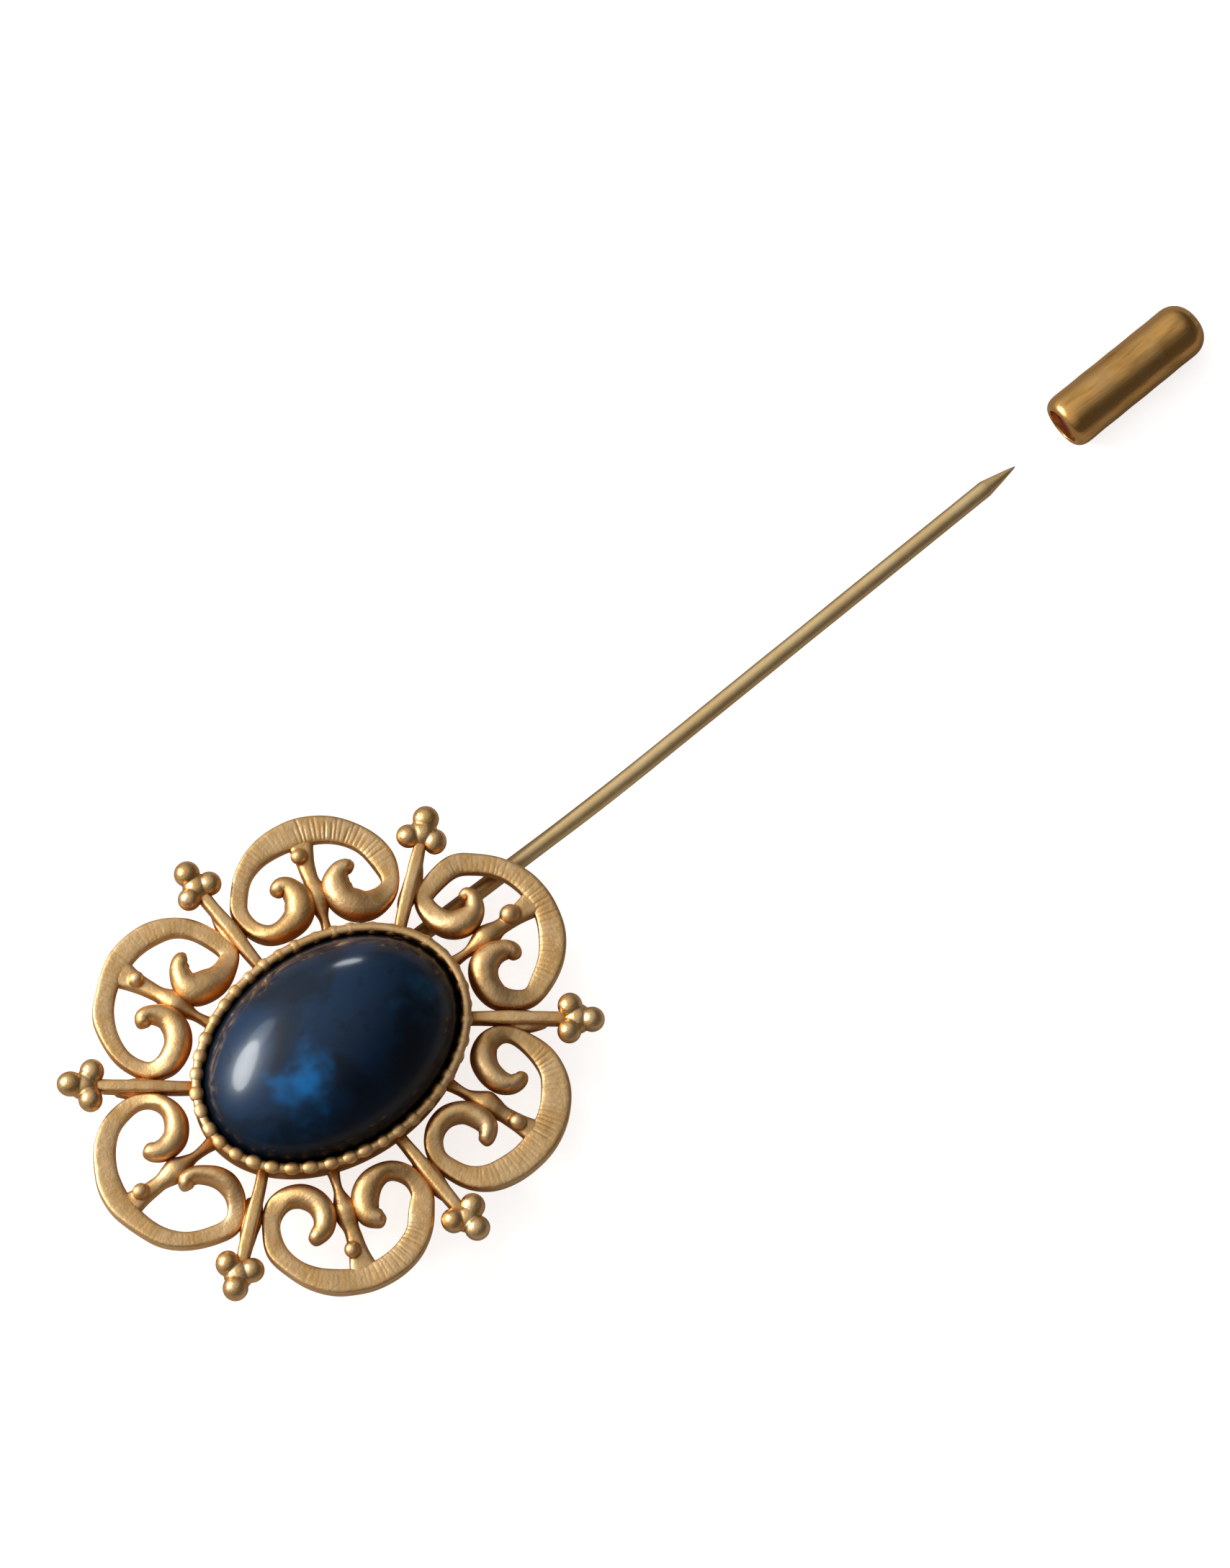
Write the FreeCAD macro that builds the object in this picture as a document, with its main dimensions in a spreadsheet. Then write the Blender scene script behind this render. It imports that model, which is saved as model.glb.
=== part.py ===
import FreeCAD, Part
import math
import os
import Sketcher
from FreeCAD import Placement, Rotation, Vector

# Hat pin: an oval filigree head with a domed stone, on a long straight pin with a slip-on point guard.
#
# The row frame has its origin on the pin's axis, where the straight shank begins, with +X along the
# shank towards the point and +Z out of the front of the head.
#
# Head pieces are drawn in a head frame: X along the stone's long axis, Y along its short axis, Z out of
# the front, zero at the back face of the filigree. Each of the six lobes also has a lobe frame of its
# own, with +Y pointing outwards from the stone and the lobe's left and right either side of Y.

DIMENSIONS = {
    # pin
    "pin_radius": 0.55,
    "shank_length": 27.6,
    "point_length": 2.4,
    "point_tip_radius": 0.06,
    "bend_radius": 218.0,
    "bend_angle": 2.1,
    "rear_length": 25.0,
    "bend_from_head": 20.0,
    "pin_off_centre": 3.0,
    "pin_below_head": 1.0,
    # saddle under the cup that the pin lies in
    "saddle_length": 13.0,
    "saddle_width": 3.2,
    "saddle_corner": 1.2,
    # stone, its bed and its cup
    "stone_major": 9.0,
    "stone_minor": 6.5,
    "stone_height": 5.6,
    "bed_thickness": 0.1,
    "cup_play": 0.05,
    "cup_wall": 0.35,
    "cup_floor": 0.5,
    "cup_height": 2.0,
    "bead_radius": 0.4,
    "bead_lift": 0.18,
    "bead_count": 42,
    # one filigree lobe, in its lobe frame
    "band_thickness": 1.0,
    "band_outer_radius": 5.4,
    "band_outer_centre": 1.75,
    "band_inner_radius": 4.3,
    "band_inner_centre": 1.1,
    "band_foot": 1.95,
    "scroll_wire_radius": 0.7,
    "scroll_wire_lift": 0.85,
    "big_turn_radius": 1.75,
    "small_turn_radius": 0.85,
    "small_turn_angle": 140.0,
    "volute_centre": 3.1,
    "tip_ball_radius": 0.78,
    # bud between the two volutes
    "bud_root": -0.9,
    "bud_shoulder": 4.3,
    "bud_root_half_width": 0.3,
    "bud_shoulder_half_width": 0.72,
    "bud_thickness": 0.9,
    "bud_bead_radius": 0.7,
    "bud_bead_place": 4.75,
    # stem across each junction of two lobes
    "stem_height": 0.6,
    "stem_half_width": 0.5,
    "stem_end_half_width": 0.35,
    "stem_edge": 0.18,
    # trefoil of three granules at each stem's end
    "granule_radius": 0.85,
    "granule_lift": 1.15,
    "granule_half_spacing": 0.82,
    "granule_rise": 1.35,
    # point guard
    "guard_gap": 4.0,
    "guard_length": 11.1,
    "guard_radius": 1.8,
    "guard_bore_radius": 1.2,
    "guard_bore_depth": 9.8,
    "guard_nose_rounding": 1.15,
    "guard_mouth_rounding": 0.5,
    "liner_setback": 0.5,
    "liner_clearance": 0.02,
    "liner_lead_in": 0.35,
}

# Lobe axes: where each lobe frame's zero lies in the head frame, and the way the lobe points (degrees).
END_LOBE_PLACE = Vector(10.25, 0, 0)
SIDE_LOBE_PLACE = Vector(4.85, 6.65, 0)
SIDE_LOBE_ANGLE = 68.5
# Stems on the short axis and on the diagonals: start, end and direction in the head frame.
STRAIGHT_STEM_START = Vector(0, 6.6, 0)
STRAIGHT_STEM_END = Vector(0, 13.1, 0)
DIAGONAL_STEM_START = Vector(7.8, 3.2, 0)
DIAGONAL_STEM_END = Vector(13.0, 7.4, 0)

doc = FreeCAD.newDocument("hat_pin")
sheet = doc.addObject("Spreadsheet::Sheet", "Dims")
for row, (alias, number) in enumerate(DIMENSIONS.items(), 1):
    sheet.set(f"A{row}", alias)
    sheet.set(f"B{row}", str(number))
    sheet.setAlias(f"B{row}", alias)
doc.recompute()


def dim(alias):
    """Value of one driving dimension, read from the sheet."""
    return float(sheet.get(alias))


def bind(obj, **expressions):
    """Bind properties to sheet cells; a bare alias or a formula of Dims cells."""
    for name, expression in expressions.items():
        obj.setExpression(name.replace("__", "."), expression)


def origin_plane(body, role):
    return next(item for item in body.Origin.OriginFeatures if item.Role == role)


def new_body(label):
    body = doc.addObject("PartDesign::Body", label)
    body.Label = label
    return body


def sketch_on(body, name, role="XY_Plane", lift=None):
    """A sketch on one of the body's origin planes, lifted along its normal by an expression."""
    sketch = body.newObject("Sketcher::SketchObject", name)
    sketch.AttachmentSupport = [(origin_plane(body, role), "")]
    sketch.MapMode = "FlatFace"
    if lift:
        sketch.setExpression("AttachmentOffset.Base.z", lift)
    return sketch


def pin_point(sketch, geometry, end, x_formula, y_formula):
    """Fix one end of a line or arc at two formulas of the sheet's cells."""
    for kind, formula in (("DistanceX", x_formula), ("DistanceY", y_formula)):
        index = sketch.addConstraint(Sketcher.Constraint(kind, -1, 1, geometry, end, 1.0))
        sketch.setExpression(f"Constraints[{index}]", formula)


def bound_outline(sketch, corners):
    """A closed outline of straight sides whose corners are pairs of formulas."""
    count = len(corners)
    spread = [Vector(5 * math.cos(2 * math.pi * i / count), 5 * math.sin(2 * math.pi * i / count), 0)
              for i in range(count)]
    for i in range(count):
        sketch.addGeometry(Part.LineSegment(spread[i], spread[(i + 1) % count]))
    for i in range(count):
        sketch.addConstraint(Sketcher.Constraint("Coincident", i, 2, (i + 1) % count, 1))
    for i, (x_formula, y_formula) in enumerate(corners):
        pin_point(sketch, i, 1, x_formula, y_formula)


def padded(body, sketch, length, downwards=False):
    pad = body.newObject("PartDesign::Pad", "Pad")
    pad.Profile = sketch
    pad.Reversed = downwards
    pad.setExpression("Length", length)
    return pad


def revolved_about_x(body, sketch):
    turn = body.newObject("PartDesign::Revolution", "Revolution")
    turn.Profile = sketch
    turn.ReferenceAxis = (sketch, ["H_Axis"])
    turn.Angle = 360
    return turn


def ball(body, name, centre, radius, seam_angle=0):
    """A ball added to a body, with its radius bound to the sheet and its seam turned clear of its neck."""
    sphere = body.newObject("PartDesign::AdditiveSphere", name)
    sphere.setExpression("Radius", radius)
    sphere.Placement = Placement(centre, Rotation(Vector(0, 0, 1), seam_angle))
    return sphere


def rounded(body, base, radius, chosen):
    """A fillet on every edge of the base feature that the test picks."""
    doc.recompute()
    names = [f"Edge{i}" for i, edge in enumerate(base.Shape.Edges, 1) if chosen(edge)]
    fillet = body.newObject("PartDesign::Fillet", "Fillet")
    fillet.Base = (base, names)
    fillet.setExpression("Radius", radius)
    return fillet


def turned(place, angle):
    return Placement(place, Rotation(Vector(0, 0, 1), angle))


def head_to_row():
    """Where the head frame sits in the row frame: behind the bend, above the pin and beside it."""
    yaw = -dim("bend_angle")
    turn = math.radians(dim("bend_angle"))
    bend_start = Vector(
        -dim("bend_radius") * math.sin(turn),
        dim("bend_radius") * (1 - math.cos(turn)),
        0,
    )
    on_head = Vector(dim("bend_from_head"), dim("pin_off_centre"), -dim("pin_below_head"))
    return turned(bend_start - Rotation(Vector(0, 0, 1), yaw).multVec(on_head), yaw)


HEAD = head_to_row()


# ---------------------------------------------------------------- pin and its saddle

def make_needle():
    """Round wire: straight shank, ground point, gentle bend and the rear run behind the head."""
    body = new_body("needle")
    along_x = Rotation(Vector(0, 1, 0), 90)
    shank = body.newObject("PartDesign::AdditiveCylinder", "Shank")
    bind(shank, Radius="Dims.pin_radius", Height="Dims.shank_length")
    shank.Placement = Placement(Vector(0, 0, 0), along_x)
    point = body.newObject("PartDesign::AdditiveCone", "Point")
    bind(point, Radius1="Dims.pin_radius", Radius2="Dims.point_tip_radius", Height="Dims.point_length")
    point.Placement = Placement(Vector(dim("shank_length"), 0, 0), along_x)
    bend = body.newObject("PartDesign::AdditiveTorus", "Bend")
    bind(bend, Radius1="Dims.bend_radius", Radius2="Dims.pin_radius", Angle3="Dims.bend_angle")
    bend.Placement = turned(Vector(0, dim("bend_radius"), 0), -90 - dim("bend_angle"))
    rear = body.newObject("PartDesign::AdditiveCylinder", "Rear")
    bind(rear, Radius="Dims.pin_radius", Height="Dims.rear_length")
    start = Vector(dim("bend_from_head"), dim("pin_off_centre"), -dim("pin_below_head"))
    rear.Placement = HEAD * Placement(start, Rotation(Vector(0, 1, 0), -90))
    return body


def make_saddle(needle):
    """Soldered block under the cup, with a half-round groove that the pin lies in."""
    body = new_body("saddle_blank")
    block = body.newObject("PartDesign::AdditiveBox", "Block")
    bind(block, Length="Dims.saddle_length", Width="Dims.saddle_width", Height="Dims.pin_below_head")
    corner = Vector(
        -dim("saddle_length") / 2,
        dim("pin_off_centre") - dim("saddle_width") / 2,
        -dim("pin_below_head"),
    )
    block.Placement = Placement(corner, Rotation())
    rounded(body, block, "Dims.saddle_corner", lambda edge: abs(edge.tangentAt(edge.FirstParameter).z) > 0.9)
    body.Placement = HEAD
    groove = doc.addObject("Part::Cut", "pin_saddle")
    groove.Base = body
    groove.Tool = needle
    return groove


# ---------------------------------------------------------------- cup, beads, bed and stone

def oval_plate(name, major, minor, height, lift):
    """An upright oval slab in the head frame: semi-axes, height and lift are formulas."""
    outline = doc.addObject("Part::Ellipse", name + "_outline")
    bind(outline, MajorRadius=major, MinorRadius=minor)
    outline.Placement = HEAD * Placement(Vector(0, 0, lift), Rotation())
    slab = doc.addObject("Part::Extrusion", name)
    slab.Base = outline
    slab.Dir = Vector(0, 0, 1)
    slab.DirMode = "Custom"
    slab.Solid = True
    slab.setExpression("LengthFwd", height)
    return slab


def make_cup():
    """Oval cup with a flat floor and an upright wall that holds the stone."""
    outside = oval_plate("cup_outside", "Dims.stone_major + Dims.cup_play + Dims.cup_wall",
                         "Dims.stone_minor + Dims.cup_play + Dims.cup_wall", "Dims.cup_height", 0)
    inside = oval_plate("cup_inside", "Dims.stone_major + Dims.cup_play",
                        "Dims.stone_minor + Dims.cup_play", "Dims.cup_height", dim("cup_floor"))
    cup = doc.addObject("Part::Cut", "bezel_cup")
    cup.Base = outside
    cup.Tool = inside
    return cup, outside


def evenly_round_oval(major, minor, count):
    """Points at equal steps of arc length round an oval."""
    fine = 3600
    ring = [Vector(major * math.cos(2 * math.pi * i / fine), minor * math.sin(2 * math.pi * i / fine), 0)
            for i in range(fine + 1)]
    walked = [0.0]
    for before, after in zip(ring, ring[1:]):
        walked.append(walked[-1] + (after - before).Length)
    points = []
    position = 0
    for k in range(count):
        while walked[position] < walked[-1] * k / count:
            position += 1
        points.append(ring[position])
    return points


def make_beads():
    """Beaded edge: a ring of granules, each with a flat foot on the top of the cup's wall."""
    radius = dim("bead_radius")
    lift = dim("bead_lift")
    middle = dim("cup_play") + dim("cup_wall") / 2
    foot = Vector(0, 0, dim("cup_height"))
    whole = Part.makeBox(2 * radius, 2 * radius, 2 * radius, Vector(-radius, -radius, 0))
    bead = Part.makeSphere(radius, Vector(0, 0, lift)).common(whole)
    count = int(dim("bead_count"))
    places = evenly_round_oval(dim("stone_major") + middle, dim("stone_minor") + middle, count)
    rim = doc.addObject("Part::Feature", "beaded_rim")
    rim.Shape = Part.makeCompound([bead.translated(place + foot) for place in places])
    rim.Placement = HEAD
    return rim


def make_stone():
    """Domed oval stone with a flat back."""
    stone = doc.addObject("Part::Ellipsoid", "cabochon")
    bind(stone, Radius1="Dims.stone_height", Radius2="Dims.stone_major", Radius3="Dims.stone_minor")
    stone.Angle1 = 0
    stone.Placement = HEAD * Placement(Vector(0, 0, dim("cup_floor") + dim("bed_thickness")), Rotation())
    return stone


# ---------------------------------------------------------------- filigree lobes

def lobe_places():
    """Placement of each lobe frame in the head frame, anticlockwise from the end over the pin."""
    places = []
    for side_x, side_y in ((1, 0), (1, 1), (-1, 1), (-1, 0), (-1, -1), (1, -1)):
        if side_y == 0:
            outward = 0 if side_x > 0 else 180
            at = Vector(side_x * END_LOBE_PLACE.x, 0, 0)
        else:
            outward = SIDE_LOBE_ANGLE * side_y if side_x > 0 else (180 - SIDE_LOBE_ANGLE) * side_y
            at = Vector(side_x * SIDE_LOBE_PLACE.x, side_y * SIDE_LOBE_PLACE.y, 0)
        places.append(turned(at, outward - 90))
    return places


def arc_end(radius, centre_y, height, side):
    """Point on a lobe arc at a given height of the lobe frame, on one side."""
    return Vector(side * math.sqrt(radius ** 2 - (height - centre_y) ** 2), height, 0)


def band_outline(sketch):
    """Crescent band: an outer and an inner arc about centres on the lobe's axis, and two short feet."""
    foot = dim("band_foot")
    for name in ("outer", "inner"):
        radius = dim(f"band_{name}_radius")
        centre = dim(f"band_{name}_centre")
        right = arc_end(radius, centre, foot, 1)
        left = arc_end(radius, centre, foot, -1)
        sketch.addGeometry(Part.Arc(right, Vector(0, centre + radius, 0), left))
    outer, inner = sketch.Geometry[:2]
    sketch.addGeometry(Part.LineSegment(outer.EndPoint, inner.EndPoint))
    sketch.addGeometry(Part.LineSegment(inner.StartPoint, outer.StartPoint))
    for first, first_end, second, second_end in ((0, 2, 2, 1), (2, 2, 1, 2), (1, 1, 3, 1), (3, 2, 0, 1)):
        sketch.addConstraint(Sketcher.Constraint("Coincident", first, first_end, second, second_end))
    for arc, name in ((0, "outer"), (1, "inner")):
        index = sketch.addConstraint(Sketcher.Constraint("Radius", arc, dim(f"band_{name}_radius")))
        sketch.setExpression(f"Constraints[{index}]", f"Dims.band_{name}_radius")
        sketch.addConstraint(Sketcher.Constraint("PointOnObject", arc, 3, -2))
        index = sketch.addConstraint(Sketcher.Constraint("DistanceY", -1, 1, arc, 3, 1.0))
        sketch.setExpression(f"Constraints[{index}]", f"Dims.band_{name}_centre")
        for end in (1, 2):
            index = sketch.addConstraint(Sketcher.Constraint("DistanceY", -1, 1, arc, end, 1.0))
            sketch.setExpression(f"Constraints[{index}]", "Dims.band_foot")


def curl(body, name, centre, radius, start_angle, sweep):
    """Part of a ring of round wire lying flat: one turn of a volute."""
    turn = body.newObject("PartDesign::AdditiveTorus", name)
    bind(turn, Radius1=radius, Radius2="Dims.scroll_wire_radius", Angle3=sweep)
    turn.Placement = turned(centre, start_angle)
    return turn


def make_scroll(label, place):
    """One lobe's scroll: a flat crescent band whose two feet curl inwards as round volutes."""
    body = new_body(label)
    sketch = sketch_on(body, "Crescent")
    band_outline(sketch)
    padded(body, sketch, "Dims.band_thickness")
    big = dim("big_turn_radius")
    small = dim("small_turn_radius")
    lift = dim("scroll_wire_lift")
    foot = dim("band_foot")
    for side in (1, -1):
        centre = Vector(side * dim("volute_centre"), foot, lift)
        inner_centre = centre - Vector(side * (big - small), 0, 0)
        start = 180 - dim("small_turn_angle") if side > 0 else 0
        tip_angle = math.radians(180 - dim("small_turn_angle"))
        tip = inner_centre + Vector(side * small * math.cos(tip_angle), small * math.sin(tip_angle), 0)
        curl(body, "BigTurn", centre, "Dims.big_turn_radius", 180, "180")
        curl(body, "SmallTurn", inner_centre, "Dims.small_turn_radius", start, "Dims.small_turn_angle")
        ball(body, "Tip", tip, "Dims.tip_ball_radius", seam_angle=0 if side > 0 else 180)
    body.Placement = HEAD * place
    return body


def make_bud(label, place, scroll, cup):
    """Bud between the volutes: a flaring stalk from the cup that ends in a granule under the band."""
    body = new_body(label + "_blank")
    stalk = sketch_on(body, "Stalk")
    bound_outline(stalk, [
        ("-Dims.bud_root_half_width", "Dims.bud_root"),
        ("Dims.bud_root_half_width", "Dims.bud_root"),
        ("Dims.bud_shoulder_half_width", "Dims.bud_shoulder"),
        ("-Dims.bud_shoulder_half_width", "Dims.bud_shoulder"),
    ])
    padded(body, stalk, "Dims.bud_thickness")
    ball(body, "Bead", Vector(0, dim("bud_bead_place"), dim("bud_thickness")), "Dims.bud_bead_radius")
    body.Placement = HEAD * place
    return fitted(label, body, [scroll, cup])


def fitted(label, blank, neighbours):
    """A piece cut to bed against its neighbours, face to face."""
    group = doc.addObject("Part::Compound", label + "_neighbours")
    group.Links = neighbours
    piece = doc.addObject("Part::Cut", label)
    piece.Base = blank
    piece.Tool = group
    return piece


# ---------------------------------------------------------------- stems and trefoils

def stem_lines():
    """Start and end of each stem in the head frame, anticlockwise, one past each lobe."""
    lines = []
    for mirror_x, mirror_y, start, end in (
        (1, 1, DIAGONAL_STEM_START, DIAGONAL_STEM_END),
        (1, 1, STRAIGHT_STEM_START, STRAIGHT_STEM_END),
        (-1, 1, DIAGONAL_STEM_START, DIAGONAL_STEM_END),
        (-1, -1, DIAGONAL_STEM_START, DIAGONAL_STEM_END),
        (1, -1, STRAIGHT_STEM_START, STRAIGHT_STEM_END),
        (1, -1, DIAGONAL_STEM_START, DIAGONAL_STEM_END),
    ):
        lines.append((Vector(mirror_x * start.x, mirror_y * start.y, 0),
                      Vector(mirror_x * end.x, mirror_y * end.y, 0)))
    return lines


def make_trefoil(label, place):
    """Three granules grown together, two beside the stem's end and one beyond it."""
    body = new_body(label)
    half = dim("granule_half_spacing")
    lift = dim("granule_lift")
    ball(body, "Left", Vector(-half, 0, lift), "Dims.granule_radius")
    ball(body, "Right", Vector(half, 0, lift), "Dims.granule_radius")
    ball(body, "Outer", Vector(0, dim("granule_rise"), lift), "Dims.granule_radius")
    body.Placement = HEAD * place
    return body


def make_stem(label, start, end, neighbours):
    """Flat bar with softened top edges that lies across two lobes, from the cup to a trefoil."""
    length = (end - start).Length
    heading = math.degrees(math.atan2(end.y - start.y, end.x - start.x)) - 90
    body = new_body(label + "_blank")
    sketch = sketch_on(body, "Bar", lift="Dims.band_thickness")
    bound_outline(sketch, [
        ("-Dims.stem_end_half_width", "0"),
        ("Dims.stem_end_half_width", "0"),
        ("Dims.stem_half_width", f"{length * 0.4}"),
        ("Dims.stem_half_width", f"{length * 0.6}"),
        ("Dims.stem_end_half_width", f"{length}"),
        ("-Dims.stem_end_half_width", f"{length}"),
        ("-Dims.stem_half_width", f"{length * 0.6}"),
        ("-Dims.stem_half_width", f"{length * 0.4}"),
    ])
    bar = padded(body, sketch, "Dims.stem_height")
    top = dim("band_thickness") + dim("stem_height")
    rounded(body, bar, "Dims.stem_edge",
            lambda edge: edge.BoundBox.ZMin > top - 0.01 and edge.BoundBox.YLength > 0.5)
    body.Placement = HEAD * turned(start, heading)
    return fitted(label, body, neighbours)


# ---------------------------------------------------------------- point guard

def on_ring(edge, place, radius):
    """True for the circle round X at this place and radius."""
    curve = edge.Curve
    round_edge = isinstance(curve, Part.Circle)
    return round_edge and abs(curve.Center.x - place) < 0.01 and abs(curve.Radius - radius) < 0.01


def guard_place():
    tip = dim("shank_length") + dim("point_length")
    return Placement(Vector(tip + dim("guard_gap"), 0, 0), Rotation())


def make_guard_shell():
    """Turned metal sleeve, closed and domed at its far end."""
    body = new_body("guard_shell")
    sketch = sketch_on(body, "Section")
    bound_outline(sketch, [
        ("0", "Dims.guard_bore_radius"),
        ("0", "Dims.guard_radius"),
        ("Dims.guard_length", "Dims.guard_radius"),
        ("Dims.guard_length", "0"),
        ("Dims.guard_bore_depth", "0"),
        ("Dims.guard_bore_depth", "Dims.guard_bore_radius"),
    ])
    turn = revolved_about_x(body, sketch)
    length = dim("guard_length")
    radius = dim("guard_radius")
    nose = rounded(body, turn, "Dims.guard_nose_rounding", lambda edge: on_ring(edge, length, radius))
    rounded(body, nose, "Dims.guard_mouth_rounding", lambda edge: on_ring(edge, 0, radius))
    body.Placement = guard_place()
    return body


def make_guard_liner():
    """Tight sleeve inside the guard that grips the pin, with a tapered way in."""
    body = new_body("guard_liner")
    sketch = sketch_on(body, "Section")
    grip = "Dims.pin_radius + Dims.liner_clearance"
    bound_outline(sketch, [
        ("Dims.liner_setback", "Dims.pin_radius + Dims.liner_clearance + Dims.liner_lead_in"),
        ("Dims.liner_setback", "Dims.guard_bore_radius"),
        ("Dims.guard_bore_depth", "Dims.guard_bore_radius"),
        ("Dims.guard_bore_depth", grip),
        ("Dims.liner_setback + Dims.liner_lead_in", grip),
    ])
    revolved_about_x(body, sketch)
    body.Placement = guard_place()
    return body


# ---------------------------------------------------------------- assembly

needle = make_needle()
saddle = make_saddle(needle)
cup, cup_outside = make_cup()
beads = make_beads()
bed = oval_plate("stone_bed", "Dims.stone_major", "Dims.stone_minor", "Dims.bed_thickness", dim("cup_floor"))
stone = make_stone()
pieces = [needle, saddle, cup, beads, bed, stone]

lobes = lobe_places()
scrolls = [make_scroll(f"scroll_{i}", place) for i, place in enumerate(lobes, 1)]
buds = [make_bud(f"bud_{i}", place, scroll, cup_outside)
        for i, (place, scroll) in enumerate(zip(lobes, scrolls), 1)]
for i, (start, end) in enumerate(stem_lines(), 1):
    heading = math.degrees(math.atan2(end.y - start.y, end.x - start.x)) - 90
    trefoil = make_trefoil(f"trefoil_{i}", turned(end, heading))
    beside = [scrolls[i - 1], scrolls[i % 6]]
    pieces += [make_stem(f"stem_{i}", start, end, beside + [cup_outside, trefoil]), trefoil]
pieces += scrolls + buds + [make_guard_shell(), make_guard_liner()]

doc.recompute()
for item in doc.Objects:
    if any(word in item.State for word in ("Invalid", "Error")):
        raise RuntimeError(f"{item.Label} failed: {item.State}")
for piece in pieces:
    if piece.Shape.isNull() or not piece.Shape.isValid() or not piece.Shape.Solids:
        raise RuntimeError(f"{piece.Label} has no valid solid")

os.makedirs("parts", exist_ok=True)
for piece in pieces:
    piece.Shape.exportStep(f"parts/{piece.Label}.step")
    box = piece.Shape.BoundBox
    print(f"{piece.Label:14s} solids {len(piece.Shape.Solids):3d} volume {piece.Shape.Volume:9.3f} "
          f"x {box.XMin:7.2f} {box.XMax:7.2f} y {box.YMin:7.2f} {box.YMax:7.2f} "
          f"z {box.ZMin:6.2f} {box.ZMax:6.2f}")
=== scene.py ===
# %% [markdown]
# # A hat pin with a filigree head, a domed stone and a point guard
# The real object is a small piece of cast and soldered jewellery. Six scrolls, each with a bud, stand
# round an oval cup that holds a polished navy stone. A bar with three granules covers each place where
# two scrolls meet. A long pin is soldered behind, and a slip-on guard keeps its point.
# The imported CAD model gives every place, and this lesson adds the looks. It works in millimetres until a
# mesh is finished, because voxels and noise are easier to read at that size.

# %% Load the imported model
from math import atan2, cos, degrees, pi, radians, sin, sqrt, tan

import bmesh
import bpy
import numpy as np
from mathutils import Matrix, Vector


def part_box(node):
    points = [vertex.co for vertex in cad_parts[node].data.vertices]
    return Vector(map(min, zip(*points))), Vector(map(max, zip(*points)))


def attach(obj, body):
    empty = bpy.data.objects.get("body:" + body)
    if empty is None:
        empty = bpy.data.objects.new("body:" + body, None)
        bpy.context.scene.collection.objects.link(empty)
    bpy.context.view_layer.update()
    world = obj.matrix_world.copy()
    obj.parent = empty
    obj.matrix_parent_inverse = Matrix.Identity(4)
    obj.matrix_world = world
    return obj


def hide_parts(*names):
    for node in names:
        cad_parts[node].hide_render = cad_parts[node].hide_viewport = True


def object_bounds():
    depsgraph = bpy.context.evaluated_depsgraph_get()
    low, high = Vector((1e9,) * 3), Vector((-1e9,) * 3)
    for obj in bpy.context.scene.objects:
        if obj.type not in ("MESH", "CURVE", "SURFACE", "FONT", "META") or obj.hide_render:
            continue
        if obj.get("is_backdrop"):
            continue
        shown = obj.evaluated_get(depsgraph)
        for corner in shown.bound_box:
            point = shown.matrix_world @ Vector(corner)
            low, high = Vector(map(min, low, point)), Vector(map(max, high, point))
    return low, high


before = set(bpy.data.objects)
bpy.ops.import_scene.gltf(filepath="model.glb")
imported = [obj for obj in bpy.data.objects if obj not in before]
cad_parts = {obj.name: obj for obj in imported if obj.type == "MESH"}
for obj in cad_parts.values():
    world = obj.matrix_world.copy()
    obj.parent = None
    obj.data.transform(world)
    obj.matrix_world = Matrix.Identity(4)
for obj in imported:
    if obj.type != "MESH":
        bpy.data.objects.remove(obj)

MM = 0.001
cad_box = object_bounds()

# %% [markdown]
# ## Where the head is
# The head is turned a little from the pin, because the wire is bent where it leaves the head. The cup is
# an oval centred on the head, so the middle of its box is the head's middle. The two bars on the short
# axis give the turn. Everything on the head is then drawn flat, about zero, and placed once.


# %% Helpers, and the head's own frame
def in_scene(name, data):
    """An object made of its data and put in the scene."""
    made = bpy.data.objects.new(name, data)
    bpy.context.scene.collection.objects.link(made)
    return made


def mesh_of(name, points, faces):
    """A mesh from points and faces."""
    mesh = bpy.data.meshes.new(name)
    mesh.from_pydata(np.asarray(points).tolist(), [], faces)
    return mesh


def middle(node):
    """Middle of a CAD node's box, in mm."""
    low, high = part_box(node)
    return np.array((low + high) / 2) / MM


def placed(points, at, turn):
    """Points turned about Z by an angle and then moved."""
    points = np.asarray(points, float)
    x = at[0] + cos(turn) * points[..., 0] - sin(turn) * points[..., 1]
    y = at[1] + sin(turn) * points[..., 0] + cos(turn) * points[..., 1]
    return np.stack([x, y, points[..., 2] + at[2]], -1)


head_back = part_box("bezel_cup")[0].z / MM
head_middle = np.array([*middle("bezel_cup")[:2], head_back])
short_axis = middle("stem_2") - middle("stem_5")
head_turn = atan2(short_axis[1], short_axis[0]) - pi / 2
print("head at", head_middle.round(3), "turned", round(degrees(head_turn), 2))


def on_head(points):
    """Points of the head's own frame, put where the head is."""
    return placed(points, head_middle, head_turn)


# %% [markdown]
# ## Camera
# Jewellery is often shown from well above and from far off, so that the filigree stays flat and open.
# A long lens from over a metre away does that. The camera is set by the point it looks at, two angles,
# a roll and a distance, which are easier to change than a matrix.

# %% Camera
LOOK_AT = Vector((-2.81, 0.21, 0)) * MM
LOOK_FROM = 1170.75 * MM
AZIMUTH = radians(-48.337)
ELEVATION = radians(72.555)
ROLL = radians(-8.01)
LENS = 431.6

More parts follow.
